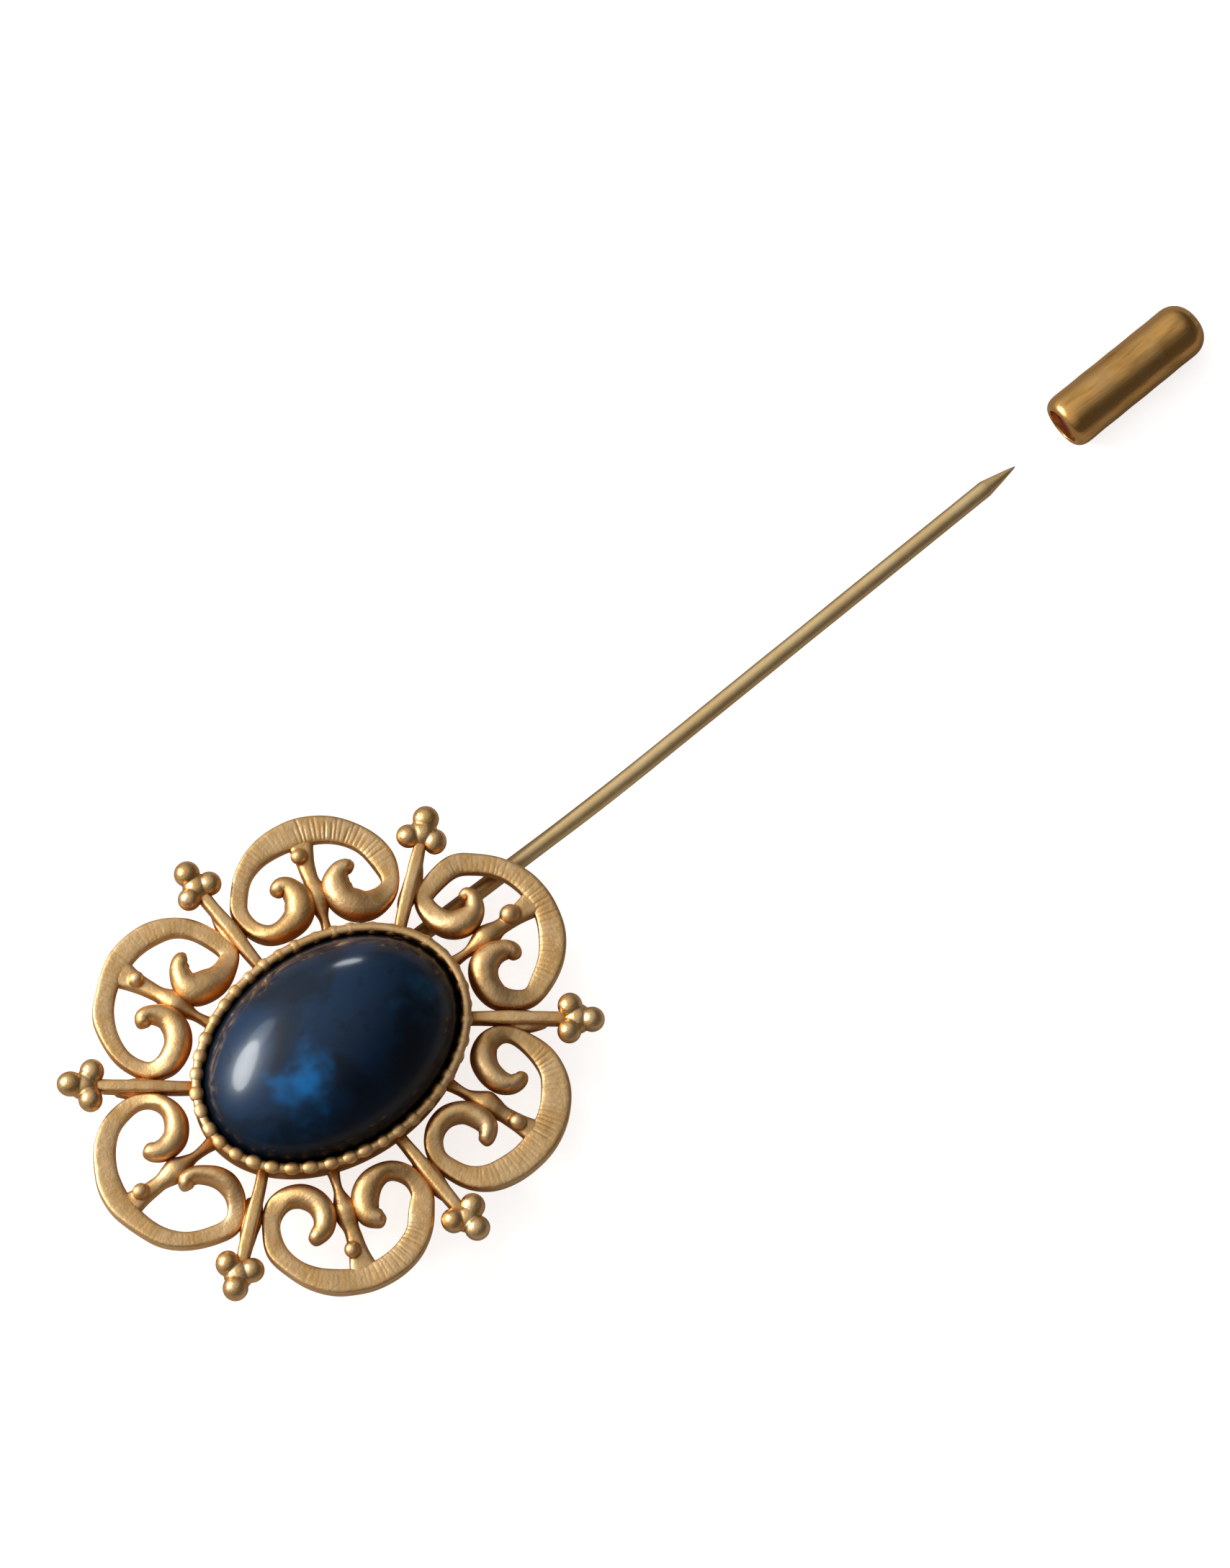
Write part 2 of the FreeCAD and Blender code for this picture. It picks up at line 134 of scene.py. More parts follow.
toward = Vector((sin(AZIMUTH) * cos(ELEVATION),
                 -cos(AZIMUTH) * cos(ELEVATION), sin(ELEVATION)))
level = toward.cross(Vector((0, 0, -1))).normalized()
upright = toward.cross(level)
above = upright * cos(ROLL) + level * sin(ROLL)
rightward = above.cross(toward)
camera_data = bpy.data.cameras.new("long_lens")
camera_data.lens = LENS
camera_data.clip_start, camera_data.clip_end = 0.05, 10
camera = in_scene("long_lens", camera_data)
camera.matrix_world = Matrix.Translation(LOOK_AT + toward * LOOK_FROM) @ Matrix(
    (rightward, above, toward)).transposed().to_4x4()
bpy.context.scene.camera = camera
print("camera at", [round(v, 3) for v in camera.matrix_world.translation])

# %% [markdown]
# ## Floor and light
# Polished metal shows what is round it, so the surroundings matter as much as the lamps. A sky that is
# bright on one side and dim on the other gives round wire a light flank and a deep one. One tall soft
# box lights everything, and three more light only the stone, where they make its window-like glints.
# The floor is a white card that glows a little, so that it stays white round the shadows.


# %% Nodes in one line each
def fill(tree, made, inputs):
    """Inputs of a node, each set to a value or linked to a socket."""
    for name, value in inputs.items():
        if isinstance(value, bpy.types.NodeSocket):
            tree.links.new(value, made.inputs[name])
        else:
            made.inputs[name].default_value = value


def node(tree, kind, inputs=None, **settings):
    """A shader node of a kind, with its settings made and its inputs filled."""
    made = tree.nodes.new("ShaderNode" + kind)
    for name, value in settings.items():
        setattr(made, name, value)
    fill(tree, made, inputs or {})
    return made


def times(tree, first, second):
    """Product of two numbers."""
    return node(tree, "Math", {0: first, 1: second}, operation="MULTIPLY").outputs[0]


def plus(tree, first, second):
    """Sum of two numbers."""
    return node(tree, "Math", {0: first, 1: second}, operation="ADD").outputs[0]


def between(tree, value, low, high, new_low=0.0, new_high=1.0):
    """Number brought from one range to another, with soft ends."""
    stretch = node(tree, "MapRange", {"Value": value, "From Min": low, "From Max": high,
                                                "To Min": new_low, "To Max": new_high},
                   interpolation_type="SMOOTHSTEP")
    return stretch.outputs[0]


def blend(tree, amount, first, second):
    """Colour made of two colours."""
    return node(tree, "Mix", {0: amount, 6: first, 7: second}, data_type="RGBA").outputs[2]


def tinted(tree, tone, mask, strength, colour):
    """A tone with a colour laid over it through a mask."""
    return blend(tree, times(tree, mask, strength), tone, colour)


def noise(tree, spot, scale, detail, **more):
    """Smooth chance values over a surface."""
    inputs = {"Vector": spot, "Scale": scale, "Detail": detail, **more}
    return node(tree, "TexNoise", inputs).outputs[0]


def bumped(tree, height, strength, distance):
    """Normal of a skin that rises and falls by a height."""
    inputs = {"Height": height, "Strength": strength, "Distance": distance}
    return node(tree, "Bump", inputs).outputs[0]


def new_finish(name):
    """A material, its node tree and its main shader."""
    material = bpy.data.materials.new(name)
    material.use_nodes = True
    return material, material.node_tree, material.node_tree.nodes["Principled BSDF"]


# %% Sky
SKY_BRIGHT = (1.0, 0.98, 0.95, 1)
SKY_DIM = (0.10, 0.09, 0.09, 1)
SKY_BRIGHT_SIDE = (-0.35, 0.62, 0.70)
SKY_STRENGTH = 0.74

world = bpy.data.worlds.new("studio_sky")
bpy.context.scene.world = world
world.use_nodes = True
sky = world.node_tree
sky.nodes.clear()
direction = node(sky, "TexCoord").outputs["Generated"]
facing = node(sky, "VectorMath", {0: direction, 1: SKY_BRIGHT_SIDE}, operation="DOT_PRODUCT")
glow = between(sky, facing.outputs["Value"], 0.0, 1.15)
shade = blend(sky, glow, SKY_DIM, SKY_BRIGHT)
background = node(sky, "Background", {"Color": shade, "Strength": SKY_STRENGTH})
node(sky, "OutputWorld", {"Surface": background.outputs[0]})
bpy.context.scene.view_settings.view_transform = "Standard"
print("sky made")

# %% Soft boxes
# Each has a way from the stone, a size in metres, a power, and whether it lights only the stone. Stone
# gives back a twentieth of what gold does, so its glints have boxes that the gold doesn't see.
GLINT_COLOUR = (0.88, 0.95, 1.0)
TALL_WAY = (-0.55, 0.68, 0.485)
BOX_AWAY = 0.42
SOFT_BOXES = {
    "tall_soft_box": (TALL_WAY, (0.25, 0.17), 1.55, False),
    "tall_glint_box": (TALL_WAY, (0.26, 0.17), 5.0, True),
    "glint_tail_box": ((-0.25, 0.835, 0.49), (0.17, 0.13), 0.20, True),
    "small_glint_box": ((0.60, 0.78, 0.20), (0.09, 0.05), 0.16, True),
}
only_stone = bpy.data.collections.new("only_stone")
stone_place = Vector(head_middle * MM)
for name, (way, size, power, for_stone) in SOFT_BOXES.items():
    lamp = bpy.data.lights.new(name, "AREA")
    lamp.shape = "ELLIPSE"
    lamp.size, lamp.size_y = size
    lamp.energy = power
    box = in_scene(name, lamp)
    way = Vector(way).normalized()
    box.location = stone_place + way * BOX_AWAY
    box.rotation_mode = "QUATERNION"
    box.rotation_quaternion = way.to_track_quat("Z", "Y")
    if for_stone:
        lamp.color = GLINT_COLOUR
        box.light_linking.receiver_collection = only_stone
print("soft boxes", len(SOFT_BOXES))

# %% Floor
# Polished metal would show the whole bright card, so a glossy ray finds a dimmer one without a glow.
FLOOR_HALF = 3.0
FLOOR_GAP = 0.02 * MM
CARD_FIBRE = 900.0
CARD_TONES = (0.93, 0.93, 0.93, 1), (0.97, 0.97, 0.97, 1)
CARD_GLOW = 0.80
CARD_IN_MIRROR = (0.42, 0.38, 0.34, 1)
floor_level = cad_box[0].z - FLOOR_GAP
corners = [(x * FLOOR_HALF, y * FLOOR_HALF, floor_level) for x, y in ((-1, -1), (1, -1), (1, 1), (-1, 1))]
floor = in_scene("floor", mesh_of("floor", corners, [(0, 1, 2, 3)]))
floor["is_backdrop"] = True
paper, card, shader = new_finish("white_card")
tone = blend(card, noise(card, node(card, "TexCoord").outputs["Object"], CARD_FIBRE, 4.0),
             *CARD_TONES)
mirrored = node(card, "LightPath").outputs["Is Glossy Ray"]
fill(card, shader, {"Base Color": blend(card, mirrored, tone, CARD_IN_MIRROR), "Emission Color": tone,
                    "Emission Strength": between(card, mirrored, 0.0, 1.0, CARD_GLOW, 0.0),
                    "Roughness": 0.9, "Specular IOR Level": 0.05})
floor.data.materials.append(paper)
print("floor at", round(floor_level / MM, 3), "mm")

# %% [markdown]
# ## Finishes
# Nearly everything here is gold plate over cast brass. It differs in polish: satin on the cast scrolls,
# brighter on the granules, drawn smooth on the wire, tarnished on the guard. So the effects they share
# are shader node groups, and each finish sets its own numbers. Noise in several sizes gives clouds of
# tone, cast grain and polishing lines. The sharpness of the surface tells worn edges from hollows, and
# hollows take a darker warm tone. Places that little open air reaches get a deep tone as painted shade.


# %% Group helpers
def group(name, inputs, outputs):
    """An empty shader node group; returns it with its inner input and output."""
    print("group", name)
    made = bpy.data.node_groups.new(name, "ShaderNodeTree")
    for label, value in inputs.items():
        kind = "NodeSocketVector" if isinstance(value, tuple) else "NodeSocketFloat"
        made.interface.new_socket(label, in_out="INPUT", socket_type=kind).default_value = value
    for label in outputs:
        made.interface.new_socket(label, in_out="OUTPUT", socket_type="NodeSocketFloat")
    return made, made.nodes.new("NodeGroupInput"), made.nodes.new("NodeGroupOutput")


def place_in_mm(tree):
    """Where a point is on the object, in mm."""
    spot = node(tree, "TexCoord").outputs["Object"]
    return node(tree, "VectorMath", {0: spot, "Scale": 1000.0}, operation="SCALE").outputs[0]


def use(tree, kind, **values):
    """A node group placed in a material with its own values; names have _ for a space."""
    inputs = {name.replace("_", " "): value for name, value in values.items()}
    return node(tree, "Group", inputs, node_tree=kind).outputs


# %% Group: cast grain
# Fine sandy skin left by the mould, broad hammer dents, soft clouds of tone and small dark pits.
HAMMER_PER_MM = 1.5
PITS_PER_MM = 3.2
cast_grain, inside, outside = group("cast_grain", {"Grain per mm": 6.0, "Cloud per mm": 0.6},
                                    ["Grain", "Hammer", "Cloud", "Speckle"])
spot = place_in_mm(cast_grain)
cloud = noise(cast_grain, spot, inside.outputs["Cloud per mm"], 3.0, Distortion=0.4)
pit = node(cast_grain, "TexVoronoi", {"Vector": spot, "Scale": PITS_PER_MM})
fill(cast_grain, outside, {
    "Grain": noise(cast_grain, spot, inside.outputs["Grain per mm"], 5.0, Roughness=0.65),
    "Hammer": noise(cast_grain, spot, HAMMER_PER_MM, 2.0),
    "Cloud": between(cast_grain, cloud, 0.32, 0.68),
    "Speckle": between(cast_grain, pit.outputs["Distance"], 0.10, 0.0)})

# %% Group: worn relief
# Plate wears thin and bright on sharp edges, and hollows are marked for a darker warm brown.
RAGGED_PER_MM = 2.4
worn_relief, inside, outside = group("worn_relief", {"Edge": 0.53, "Hollow": 0.47, "Ragged": 0.5},
                                     ["Worn edge", "Deep hollow"])
sharp = node(worn_relief, "NewGeometry").outputs["Pointiness"]
ragged = noise(worn_relief, place_in_mm(worn_relief), RAGGED_PER_MM, 4.0)
offset = times(worn_relief, plus(worn_relief, ragged, -0.5),
               times(worn_relief, inside.outputs["Ragged"], 0.06))
felt = plus(worn_relief, sharp, offset)
for label, start, step in (("Worn edge", "Edge", 0.06), ("Deep hollow", "Hollow", -0.07)):
    begins = inside.outputs[start]
    fill(worn_relief, outside,
         {label: between(worn_relief, felt, begins, plus(worn_relief, begins, step))})

# %% Group: rubbed lines
# Long thin scratches of a polishing cloth or a drawing die, along one direction.
rubbed_lines, inside, outside = group("rubbed_lines", {"Along": (0.15, 6.0, 6.0), "Sharpness": 0.5},
                                      ["Lines"])
drawn = node(rubbed_lines, "VectorMath",
             {0: place_in_mm(rubbed_lines), 1: inside.outputs["Along"]}, operation="MULTIPLY").outputs[0]
fill(rubbed_lines, outside,
     {"Lines": noise(rubbed_lines, drawn, 1.0, 3.0, Roughness=inside.outputs["Sharpness"])})

# %% Gold finishes
PAINTED_SHADE_REACH = 0.0026
GOLD_BUMP = 0.00006
GOLD_LIGHT = (0.95, 0.655, 0.34, 1)
GOLD_WARM = (0.83, 0.51, 0.205, 1)
# The deep tone goes into pits and hollows, and is also painted shade where little open air reaches.
GOLD_DIRT_AND_SHADE = (0.55, 0.245, 0.058, 1)
WIRE_PAINTED_SHADE = (0.22, 0.11, 0.035, 1)


def gilt(name, polish, grain, light=GOLD_LIGHT, warm=GOLD_WARM, deep=GOLD_DIRT_AND_SHADE, lines=0.2, dirt=0.5):
    """Gold plate: a polish, the strengths of its grain, lines and dirt, and three tones, the deep one also
    used as painted shade.
    """
    material, tree, shader = new_finish(name)
    skin = use(tree, cast_grain, Grain_per_mm=7.0, Cloud_per_mm=0.55)
    relief = use(tree, worn_relief, Edge=0.53, Hollow=0.47, Ragged=0.6)
    rubbed = use(tree, rubbed_lines, Along=(0.3, 5.0, 5.0), Sharpness=0.55)["Lines"]
    tone = blend(tree, skin["Cloud"], light, warm)
    tone = tinted(tree, tone, between(tree, rubbed, 0.35, 0.7), lines, warm)
    tone = tinted(tree, tone, skin["Speckle"], dirt, deep)
    tone = tinted(tree, tone, relief["Deep hollow"], 0.9, deep)
    # Painted shade: where little open air reaches, the tone goes towards the deep one.
    open_air_for_painted_shade = node(tree, "AmbientOcclusion", {"Distance": PAINTED_SHADE_REACH}, samples=8).outputs["AO"]
    tone = blend(tree, between(tree, open_air_for_painted_shade, 0.90, 0.42, 0.0, 0.95), tone, deep)
    tone = tinted(tree, tone, relief["Worn edge"], 0.6, light)
    rough = between(tree, skin["Grain"], 0.3, 0.7, 0.36 - 0.24 * polish, 0.52 - 0.30 * polish)
    rough = plus(tree, rough, times(tree, relief["Worn edge"], -0.08))
    rough = plus(tree, rough, times(tree, relief["Deep hollow"], 0.10))
    height = plus(tree, times(tree, skin["Grain"], grain), times(tree, rubbed, lines))
    height = plus(tree, height, times(tree, skin["Hammer"], 2 * grain))
    fill(tree, shader, {"Base Color": tone, "Metallic": 1.0, "Roughness": rough,
                        "Normal": bumped(tree, height, 0.6, GOLD_BUMP)})
    return material


satin_gold = gilt("satin_cast_gold", 0.0, 0.6)
bright_gold = gilt("bright_granule_gold", 0.4, 0.5)
rim_gold = gilt("worn_rim_gold", -0.2, 0.4)
wire_gold = gilt("drawn_wire_gold", 0.0, 0.06, (0.97, 0.74, 0.40, 1), (0.92, 0.66, 0.32, 1),
                 (0.30, 0.15, 0.04, 1), lines=0.12, dirt=0.1)
# Painted shade: one side of the wire is darker brown along its whole length.
tree = wire_gold.node_tree
wire_tone = tree.nodes["Principled BSDF"].inputs["Base Color"]
side = node(tree, "SeparateXYZ", {"Vector": place_in_mm(tree)}).outputs["Y"]
tree.links.new(blend(tree, between(tree, side, 0.28, 0.52, 0.0, 0.7), wire_tone.links[0].from_socket,
                     WIRE_PAINTED_SHADE), wire_tone)
print("gold finishes made")

# %% [markdown]
# ## Shapes that most pieces share
# A cast scroll is a bar whose section changes along its way: flat and crisp in the outer band, round and
# plump in the curls. So the main tool is a loft through rings. Each ring is a rounded square, and one
# number takes it from a circle to a flat bar. Joints that were soldered are melted together with a
# voxel remesh, which leaves the small soft fillet that solder leaves.


# %% Mesh helpers
def new_piece(name, points, faces):
    """A smooth-shaded object from points in mm."""
    return finished(name, mesh_of(name, np.asarray(points) * MM, faces))


def finished(name, mesh):
    """Outward normals and smooth shading on a mesh in metres; returns its object."""
    shape = bmesh.new()
    shape.from_mesh(mesh)
    bmesh.ops.recalc_face_normals(shape, faces=shape.faces)
    shape.to_mesh(mesh)
    shape.free()
    mesh.polygons.foreach_set("use_smooth", [True] * len(mesh.polygons))
    mesh.update()
    return in_scene(name, mesh)


def loft(rings):
    """Points and faces through closed rings of equal count, with both ends closed."""
    rings = np.asarray(rings, float)
    count, sides = rings.shape[:2]
    points = np.vstack([rings.reshape(-1, 3), rings[0].mean(0), rings[-1].mean(0)])
    start = np.arange(count - 1)[:, None] * sides
    side = np.arange(sides)[None]
    after = (side + 1) % sides
    walls = np.stack([start + side, start + after, start + sides + after, start + sides + side], -1)
    faces = walls.reshape(-1, 4).tolist()
    first, last, end = count * sides, count * sides + 1, (count - 1) * sides
    faces += [(first, (j + 1) % sides, j) for j in range(sides)]
    faces += [(last, end + j, end + (j + 1) % sides) for j in range(sides)]
    return points, faces


def hoop(rings):
    """Points and faces through closed rings that close in a loop themselves."""
    rings = np.asarray(rings)
    count, sides = rings.shape[:2]
    faces = []
    for a in range(count):
        this, after = a * sides, (a + 1) % count * sides
        faces += [(this + s, after + s, after + (s + 1) % sides, this + (s + 1) % sides)
                  for s in range(sides)]
    return rings.reshape(-1, 3), faces


def laid(part, place, turn=0.0):
    """A part (points and faces) put at a place on the head."""
    points, faces = part
    return on_head(placed(points, place, turn)), faces


def joined(parts):
    """Several (points, faces) as one."""
    points, faces = [], []
    for part_points, part_faces in parts:
        shift = sum(len(p) for p in points)
        points.append(np.asarray(part_points, float))
        faces += [tuple(v + shift for v in face) for face in part_faces]
    return np.vstack(points), faces


def melted(name, parts, grain, rounds):
    """Closed parts melted into one skin by voxels of a size in mm, then smoothed some rounds."""
    lump = in_scene(name + "_parts", mesh_of(name + "_parts", *joined(parts)))
    voxels = lump.modifiers.new("solder", "REMESH")
    voxels.mode = "VOXEL"
    voxels.voxel_size = grain
    soften = lump.modifiers.new("soften", "SMOOTH")
    soften.iterations = rounds
    soften.factor = 0.5
    graph = bpy.context.evaluated_depsgraph_get()
    mesh = bpy.data.meshes.new_from_object(lump.evaluated_get(graph))
    mesh.name = name
    bpy.data.objects.remove(lump)
    mesh.transform(Matrix.Scale(MM, 4))
    return finished(name, mesh)


def handed_in(piece, material, body, slot, *nodes):
    """Give a piece its finish and its body, and hide the CAD nodes that it stands for; the slot is not
    used.
    """
    piece.data.materials.clear()
    piece.data.materials.append(material)
    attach(piece, body)
    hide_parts(*nodes)
    print(piece.name, len(piece.data.polygons), "faces, for", ", ".join(nodes))


# %% Sections and lines
QUARTER = 10
SECTION_STEPS = 9


def quadrant(power):
    """Evenly spaced points on a quarter of a rounded square, from its side to its top."""
    angle = np.linspace(0, pi / 2, 200)
    side, top = np.cos(angle) ** (2 / power), np.sin(angle) ** (2 / power)
    run = np.r_[0, np.cumsum(np.hypot(np.diff(side), np.diff(top)))]
    even = np.linspace(0, run[-1], QUARTER + 1)
    return np.interp(even, run, side), np.interp(even, run, top)


def section(flatness):
    """Outline of a bar's section two units across: 0 is round, 1 is flat with crisp edges."""
    side, top = quadrant(2.1 + 4.5 * flatness)
    under_side, under = quadrant(3.2 + 3.5 * flatness)
    across = np.r_[side[:-1], -side[:0:-1], -under_side[:-1], under_side[:0:-1]]
    upward = np.r_[top[:-1], top[:0:-1], -under[:-1], -under[:0:-1]]
    return np.stack([across, upward], -1)


SECTIONS = np.array([section(k / (SECTION_STEPS - 1)) for k in range(SECTION_STEPS)])


def smooth_line(rows, step, blunt):
    """Rows of numbers, the first two a place, made into a smooth line with closer steps at its ends."""
    rows = np.asarray(rows, float)
    ends = np.vstack([2 * rows[0] - rows[1], rows, 2 * rows[-1] - rows[-2]])
    t = np.linspace(0, 1, 40, endpoint=False)[:, None]
    dense = [0.5 * (2 * b + (c - a) * t + (2 * a - 5 * b + 4 * c - d) * t ** 2
                    + (3 * b - a - 3 * c + d) * t ** 3)
             for a, b, c, d in zip(ends, ends[1:], ends[2:], ends[3:])]
    dense = np.vstack(dense + [rows[-1:]])
    run = np.r_[0, np.cumsum(np.linalg.norm(np.diff(dense[:, :2], axis=0), axis=1))]
    end = blunt * (1 - np.cos(np.linspace(0, pi / 2, 8)[:-1]))
    even = np.linspace(blunt, run[-1] - blunt, max(int((run[-1] - 2 * blunt) / step), 2))
    even = np.r_[end, even, run[-1] - end[::-1]]
    return np.stack([np.interp(even, run, column) for column in dense.T], -1), even


def bar_rings(rows, run, blunt):
    """Rings round a line of x, y, half width, top, bottom and flatness, with rounded ends."""
    x, y, half, top, bottom, flat = rows.T
    heading = np.stack([np.gradient(x, run), np.gradient(y, run)], -1)
    heading /= np.linalg.norm(heading, axis=1, keepdims=True)
    across = np.stack([-heading[:, 1], heading[:, 0]], -1)
    near = np.clip(np.minimum(run, run[-1] - run) / blunt, 0, 1)
    keep = np.sqrt(np.clip(1 - (1 - near) ** 2, 0.0009, 1))
    spot = np.clip(flat, 0, 1) * (SECTION_STEPS - 1)
    low = np.clip(spot.astype(int), 0, SECTION_STEPS - 2)
    part = (spot - low)[:, None, None]
    outline = SECTIONS[low] * (1 - part) + SECTIONS[low + 1] * part
    side = outline[..., 0] * (half * keep)[:, None]
    rings = np.empty(outline.shape[:2] + (3,))
    rings[..., 0] = x[:, None] + across[:, :1] * side
    rings[..., 1] = y[:, None] + across[:, 1:] * side
    rings[..., 2] = ((top + bottom) / 2)[:, None] + outline[..., 1] * ((top - bottom) / 2 * keep)[:, None]
    return rings, outline


def bar(rows, run, blunt):
    """Points and faces of a bar along a line."""
    return loft(bar_rings(rows, run, blunt)[0])


def wander(run, pitch, seed):
    """Smooth chance values between -1 and 1 along a run, a fresh one every pitch."""
    chance = np.random.default_rng(seed)
    values = chance.uniform(-1, 1, int(run[-1] / pitch) + 3)
    spot = run / pitch
    low = spot.astype(int)
    part = (1 - np.cos((spot - low) * pi)) / 2
    return values[low] * (1 - part) + values[low + 1] * part


def granule(centre, radius, seed, squash=1.0, rings=14, sides=24):
    """A melted metal ball, a little out of round."""
    chance = np.random.default_rng(seed)
    swell = chance.uniform(-0.05, 0.05, 4)
    height = np.cos(np.linspace(0.06, pi - 0.06, rings))[:, None]
    angle = np.linspace(0, 2 * pi, sides, endpoint=False)[None]
    wide = np.sqrt(1 - height ** 2)
    bulge = 1 + swell[0] * np.cos(angle + 9 * swell[1]) + swell[2] * np.cos(2 * angle) + swell[3] * height
    ball = np.stack([wide * np.cos(angle) * bulge, wide * np.sin(angle) * bulge,
                     height * squash * (1 + 0 * angle)], -1)
    return loft(ball * radius + np.asarray(centre, float))


print("section points", SECTIONS.shape[1])

# %% [markdown]
# ## Scrolls
# Each scroll is cast in one piece. Its outer band is flat and cut across with fine lines, as a graver
# does to make gold glitter. At the stone each end of the band curls inwards, grows plump, and ends in a
# small hook. One lofted bar can do all of this: a line down the middle of the metal carries a width,
# a height and a flatness. The cuts are pushed into the mesh itself, so they catch real light.
# A lobe's own frame has its zero near the stone and its Y pointing outwards.

# %% Places of the six lobes
END_LOBE = (10.25, 0.0, 0.0)
SIDE_LOBE = (4.85, 6.65, 68.5)
# Place and turn of each lobe on the head, anticlockwise from the one over the pin.
LOBES = []
for right, up in ((1, 0), (1, 1), (-1, 1), (-1, 0), (-1, -1), (1, -1)):
    x, y, angle = SIDE_LOBE if up else END_LOBE
    angle = angle if right > 0 else 180 - angle
    LOBES.append(((right * x, up * y, 0), radians((angle * up if up else angle) - 90)))
print("lobes", [(place[:2], round(degrees(turn), 1)) for place, turn in LOBES])

# %% Line of a scroll
# Beside the lobe's axis, outwards and half width at nine places from a curl's hook to its foot, in
# hundredths of a mm. Each scroll has a right curl and a left one, bent by hand, so no two are alike.
CURLS = np.array([
    236, 254, 34,  183, 268, 48,  140, 231, 58,  121, 151, 78,  150, 61, 92,  238, 10, 92,
    351, 16, 78,  426, 81, 62,  469, 180, 56,
    260, 230, 36,  279, 269, 42,  236, 287, 50,  172, 242, 68,  156, 162, 88,  188, 83, 88,
    262, 37, 80,  368, 27, 62,  453, 71, 56,
    260, 290, 38,  232, 318, 50,  176, 302, 66,  134, 226, 95,  152, 131, 98,  226, 69, 100,
    315, 55, 86,  414, 95, 66,  473, 175, 56,
    251, 259, 38,  207, 309, 52,  153, 293, 64,  115, 201, 93,  151, 107, 93,  259, 45, 74,
    364, 44, 58,  444, 111, 52,  487, 229, 54,
    270, 266, 36,  249, 293, 50,  190, 280, 60,  136, 218, 80,  126, 143, 98,  198, 82, 100,
    283, 46, 85,  381, 47, 66,  462, 94, 60,
    234, 264, 42,  190, 312, 50,  139, 272, 56,  114, 184, 78,  159, 93, 86,  244, 39, 86,
    361, 39, 78,  450, 98, 55,  479, 193, 52,
    233, 259, 42,  172, 236, 58,  141, 166, 72,  159, 76, 80,  228, 13, 76,  317, -10, 62,
    401, 9, 50,  465, 61, 44,  500, 156, 50,
    158, 208, 42,  100, 195, 48,  101, 130, 50,  139, 75, 55,  199, 24, 64,  271, 0, 68,
    353, 8, 62,  429, 49, 56,  491, 144, 55,
    272, 319, 34,  219, 310, 50,  159, 264, 66,  134, 183, 74,  162, 95, 74,  236, 33, 72,
    333, 20, 70,  417, 60, 66,  470, 157, 56,
    224, 328, 36,  182, 312, 52,  129, 260, 74,  136, 158, 86,  197, 72, 82,  292, 27, 62,
    381, 41, 58,  454, 108, 56,  487, 220, 66,
    241, 288, 38,  187, 304, 50,  125, 272, 62,  105, 192, 68,  124, 100, 66,  200, 24, 66,
    301, 5, 64,  389, 40, 58,  460, 132, 54,
    281, 276, 36,  235, 296, 46,  181, 266, 56,  160, 193, 72,  186, 100, 80,  252, 28, 86,
    354, 4, 72,  443, 48, 50,  475, 141, 48,
]).reshape(12, 9, 3) / 100
# Top, bottom and flatness at the same nine places.
CURL_HEIGHTS = [(1.66, 0.42, 0.0), (1.80, 0.30, 0.0), (1.86, 0.18, 0.0), (1.92, 0.08, 0.0),
                (1.95, 0.02, 0.0), (1.86, 0.00, 0.0), (1.58, 0.00, 0.1), (1.22, 0.00, 0.5),
                (1.04, 0.00, 0.9)]
# The outer band swings round a middle. These are the angles of its stations, right to left, and at each
# station how far its outer and inner edges are from that middle, for each scroll, in hundredths of a mm.
BAND_MIDDLE = (0.0, 2.3)
BAND_ANGLES = (10, 28, 46, 64, 82, 98, 116, 134, 152, 170)
BANDS = np.array([
    506, 360,  489, 328,  475, 308,  465, 303,  463, 311,
    469, 326,  485, 350,  507, 378,  535, 406,  568, 432,
    550, 395,  537, 383,  517, 362,  503, 338,  495, 320,
    494, 315,  498, 332,  507, 369,  518, 406,  529, 421,
    536, 423,  535, 414,  521, 376,  501, 351,  485, 337,
    470, 334,  468, 343,  502, 363,  511, 392,  528, 426,
    547, 425,  520, 379,  485, 342,  467, 316,  453, 303,
    440, 303,  440, 319,  465, 349,  488, 382,  513, 406,
    555, 426,  524, 409,  516, 379,  506, 352,  495, 339,
    496, 338,  507, 345,  523, 358,  536, 372,  540, 383,
    534, 405,  530, 368,  501, 320,  478, 293,  470, 278,
    472, 278,  484, 291,  502, 319,  523, 363,  532, 394,
]).reshape(6, 10, 2) / 100
BAND_TOP = 1.0


def band_rows(index):
    """The same six numbers along a scroll's outer band."""
    rows = []
    for station, (outer, inner) in zip(BAND_ANGLES, BANDS[index]):
        angle, far = radians(station), (outer + inner) / 2
        rows.append((BAND_MIDDLE[0] + far * cos(angle), BAND_MIDDLE[1] + far * sin(angle),
                     (outer - inner) / 2, BAND_TOP, 0.0, 1.0))
    return rows


def scroll_rows(index):
    """All rows of one scroll, from its right hook round the band to its left hook."""
    right, left = [[(*place, *height) for place, height in zip(curl, CURL_HEIGHTS)]
                   for curl in CURLS[2 * index:2 * index + 2]]
    return right + band_rows(index) + [(-row[0], *row[1:]) for row in left[::-1]]


print("rows along a scroll", len(scroll_rows(0)))

# %% Scroll meshes
# Strength of the cuts on the right and left halves of each scroll.
CUT_STRENGTHS = [(0.6, 0.3), (0.9, 0.25), (0.15, 0.2), (0.1, 0.15), (0.15, 0.4), (0.25, 0.6)]
CUT_PITCH = 0.34
CUT_DEPTH = 0.055
CUT_WIDTH = 0.062
CUT_REACH = 6.9
CUT_FADE = 1.5
SCROLL_STEP = 0.055
EASE_STEPS = 25
HOOK_BLUNT = 0.42
TIP_FULLER = 0.2
TIP_LENGTH = 0.7
OUTER_FALL = 0.05


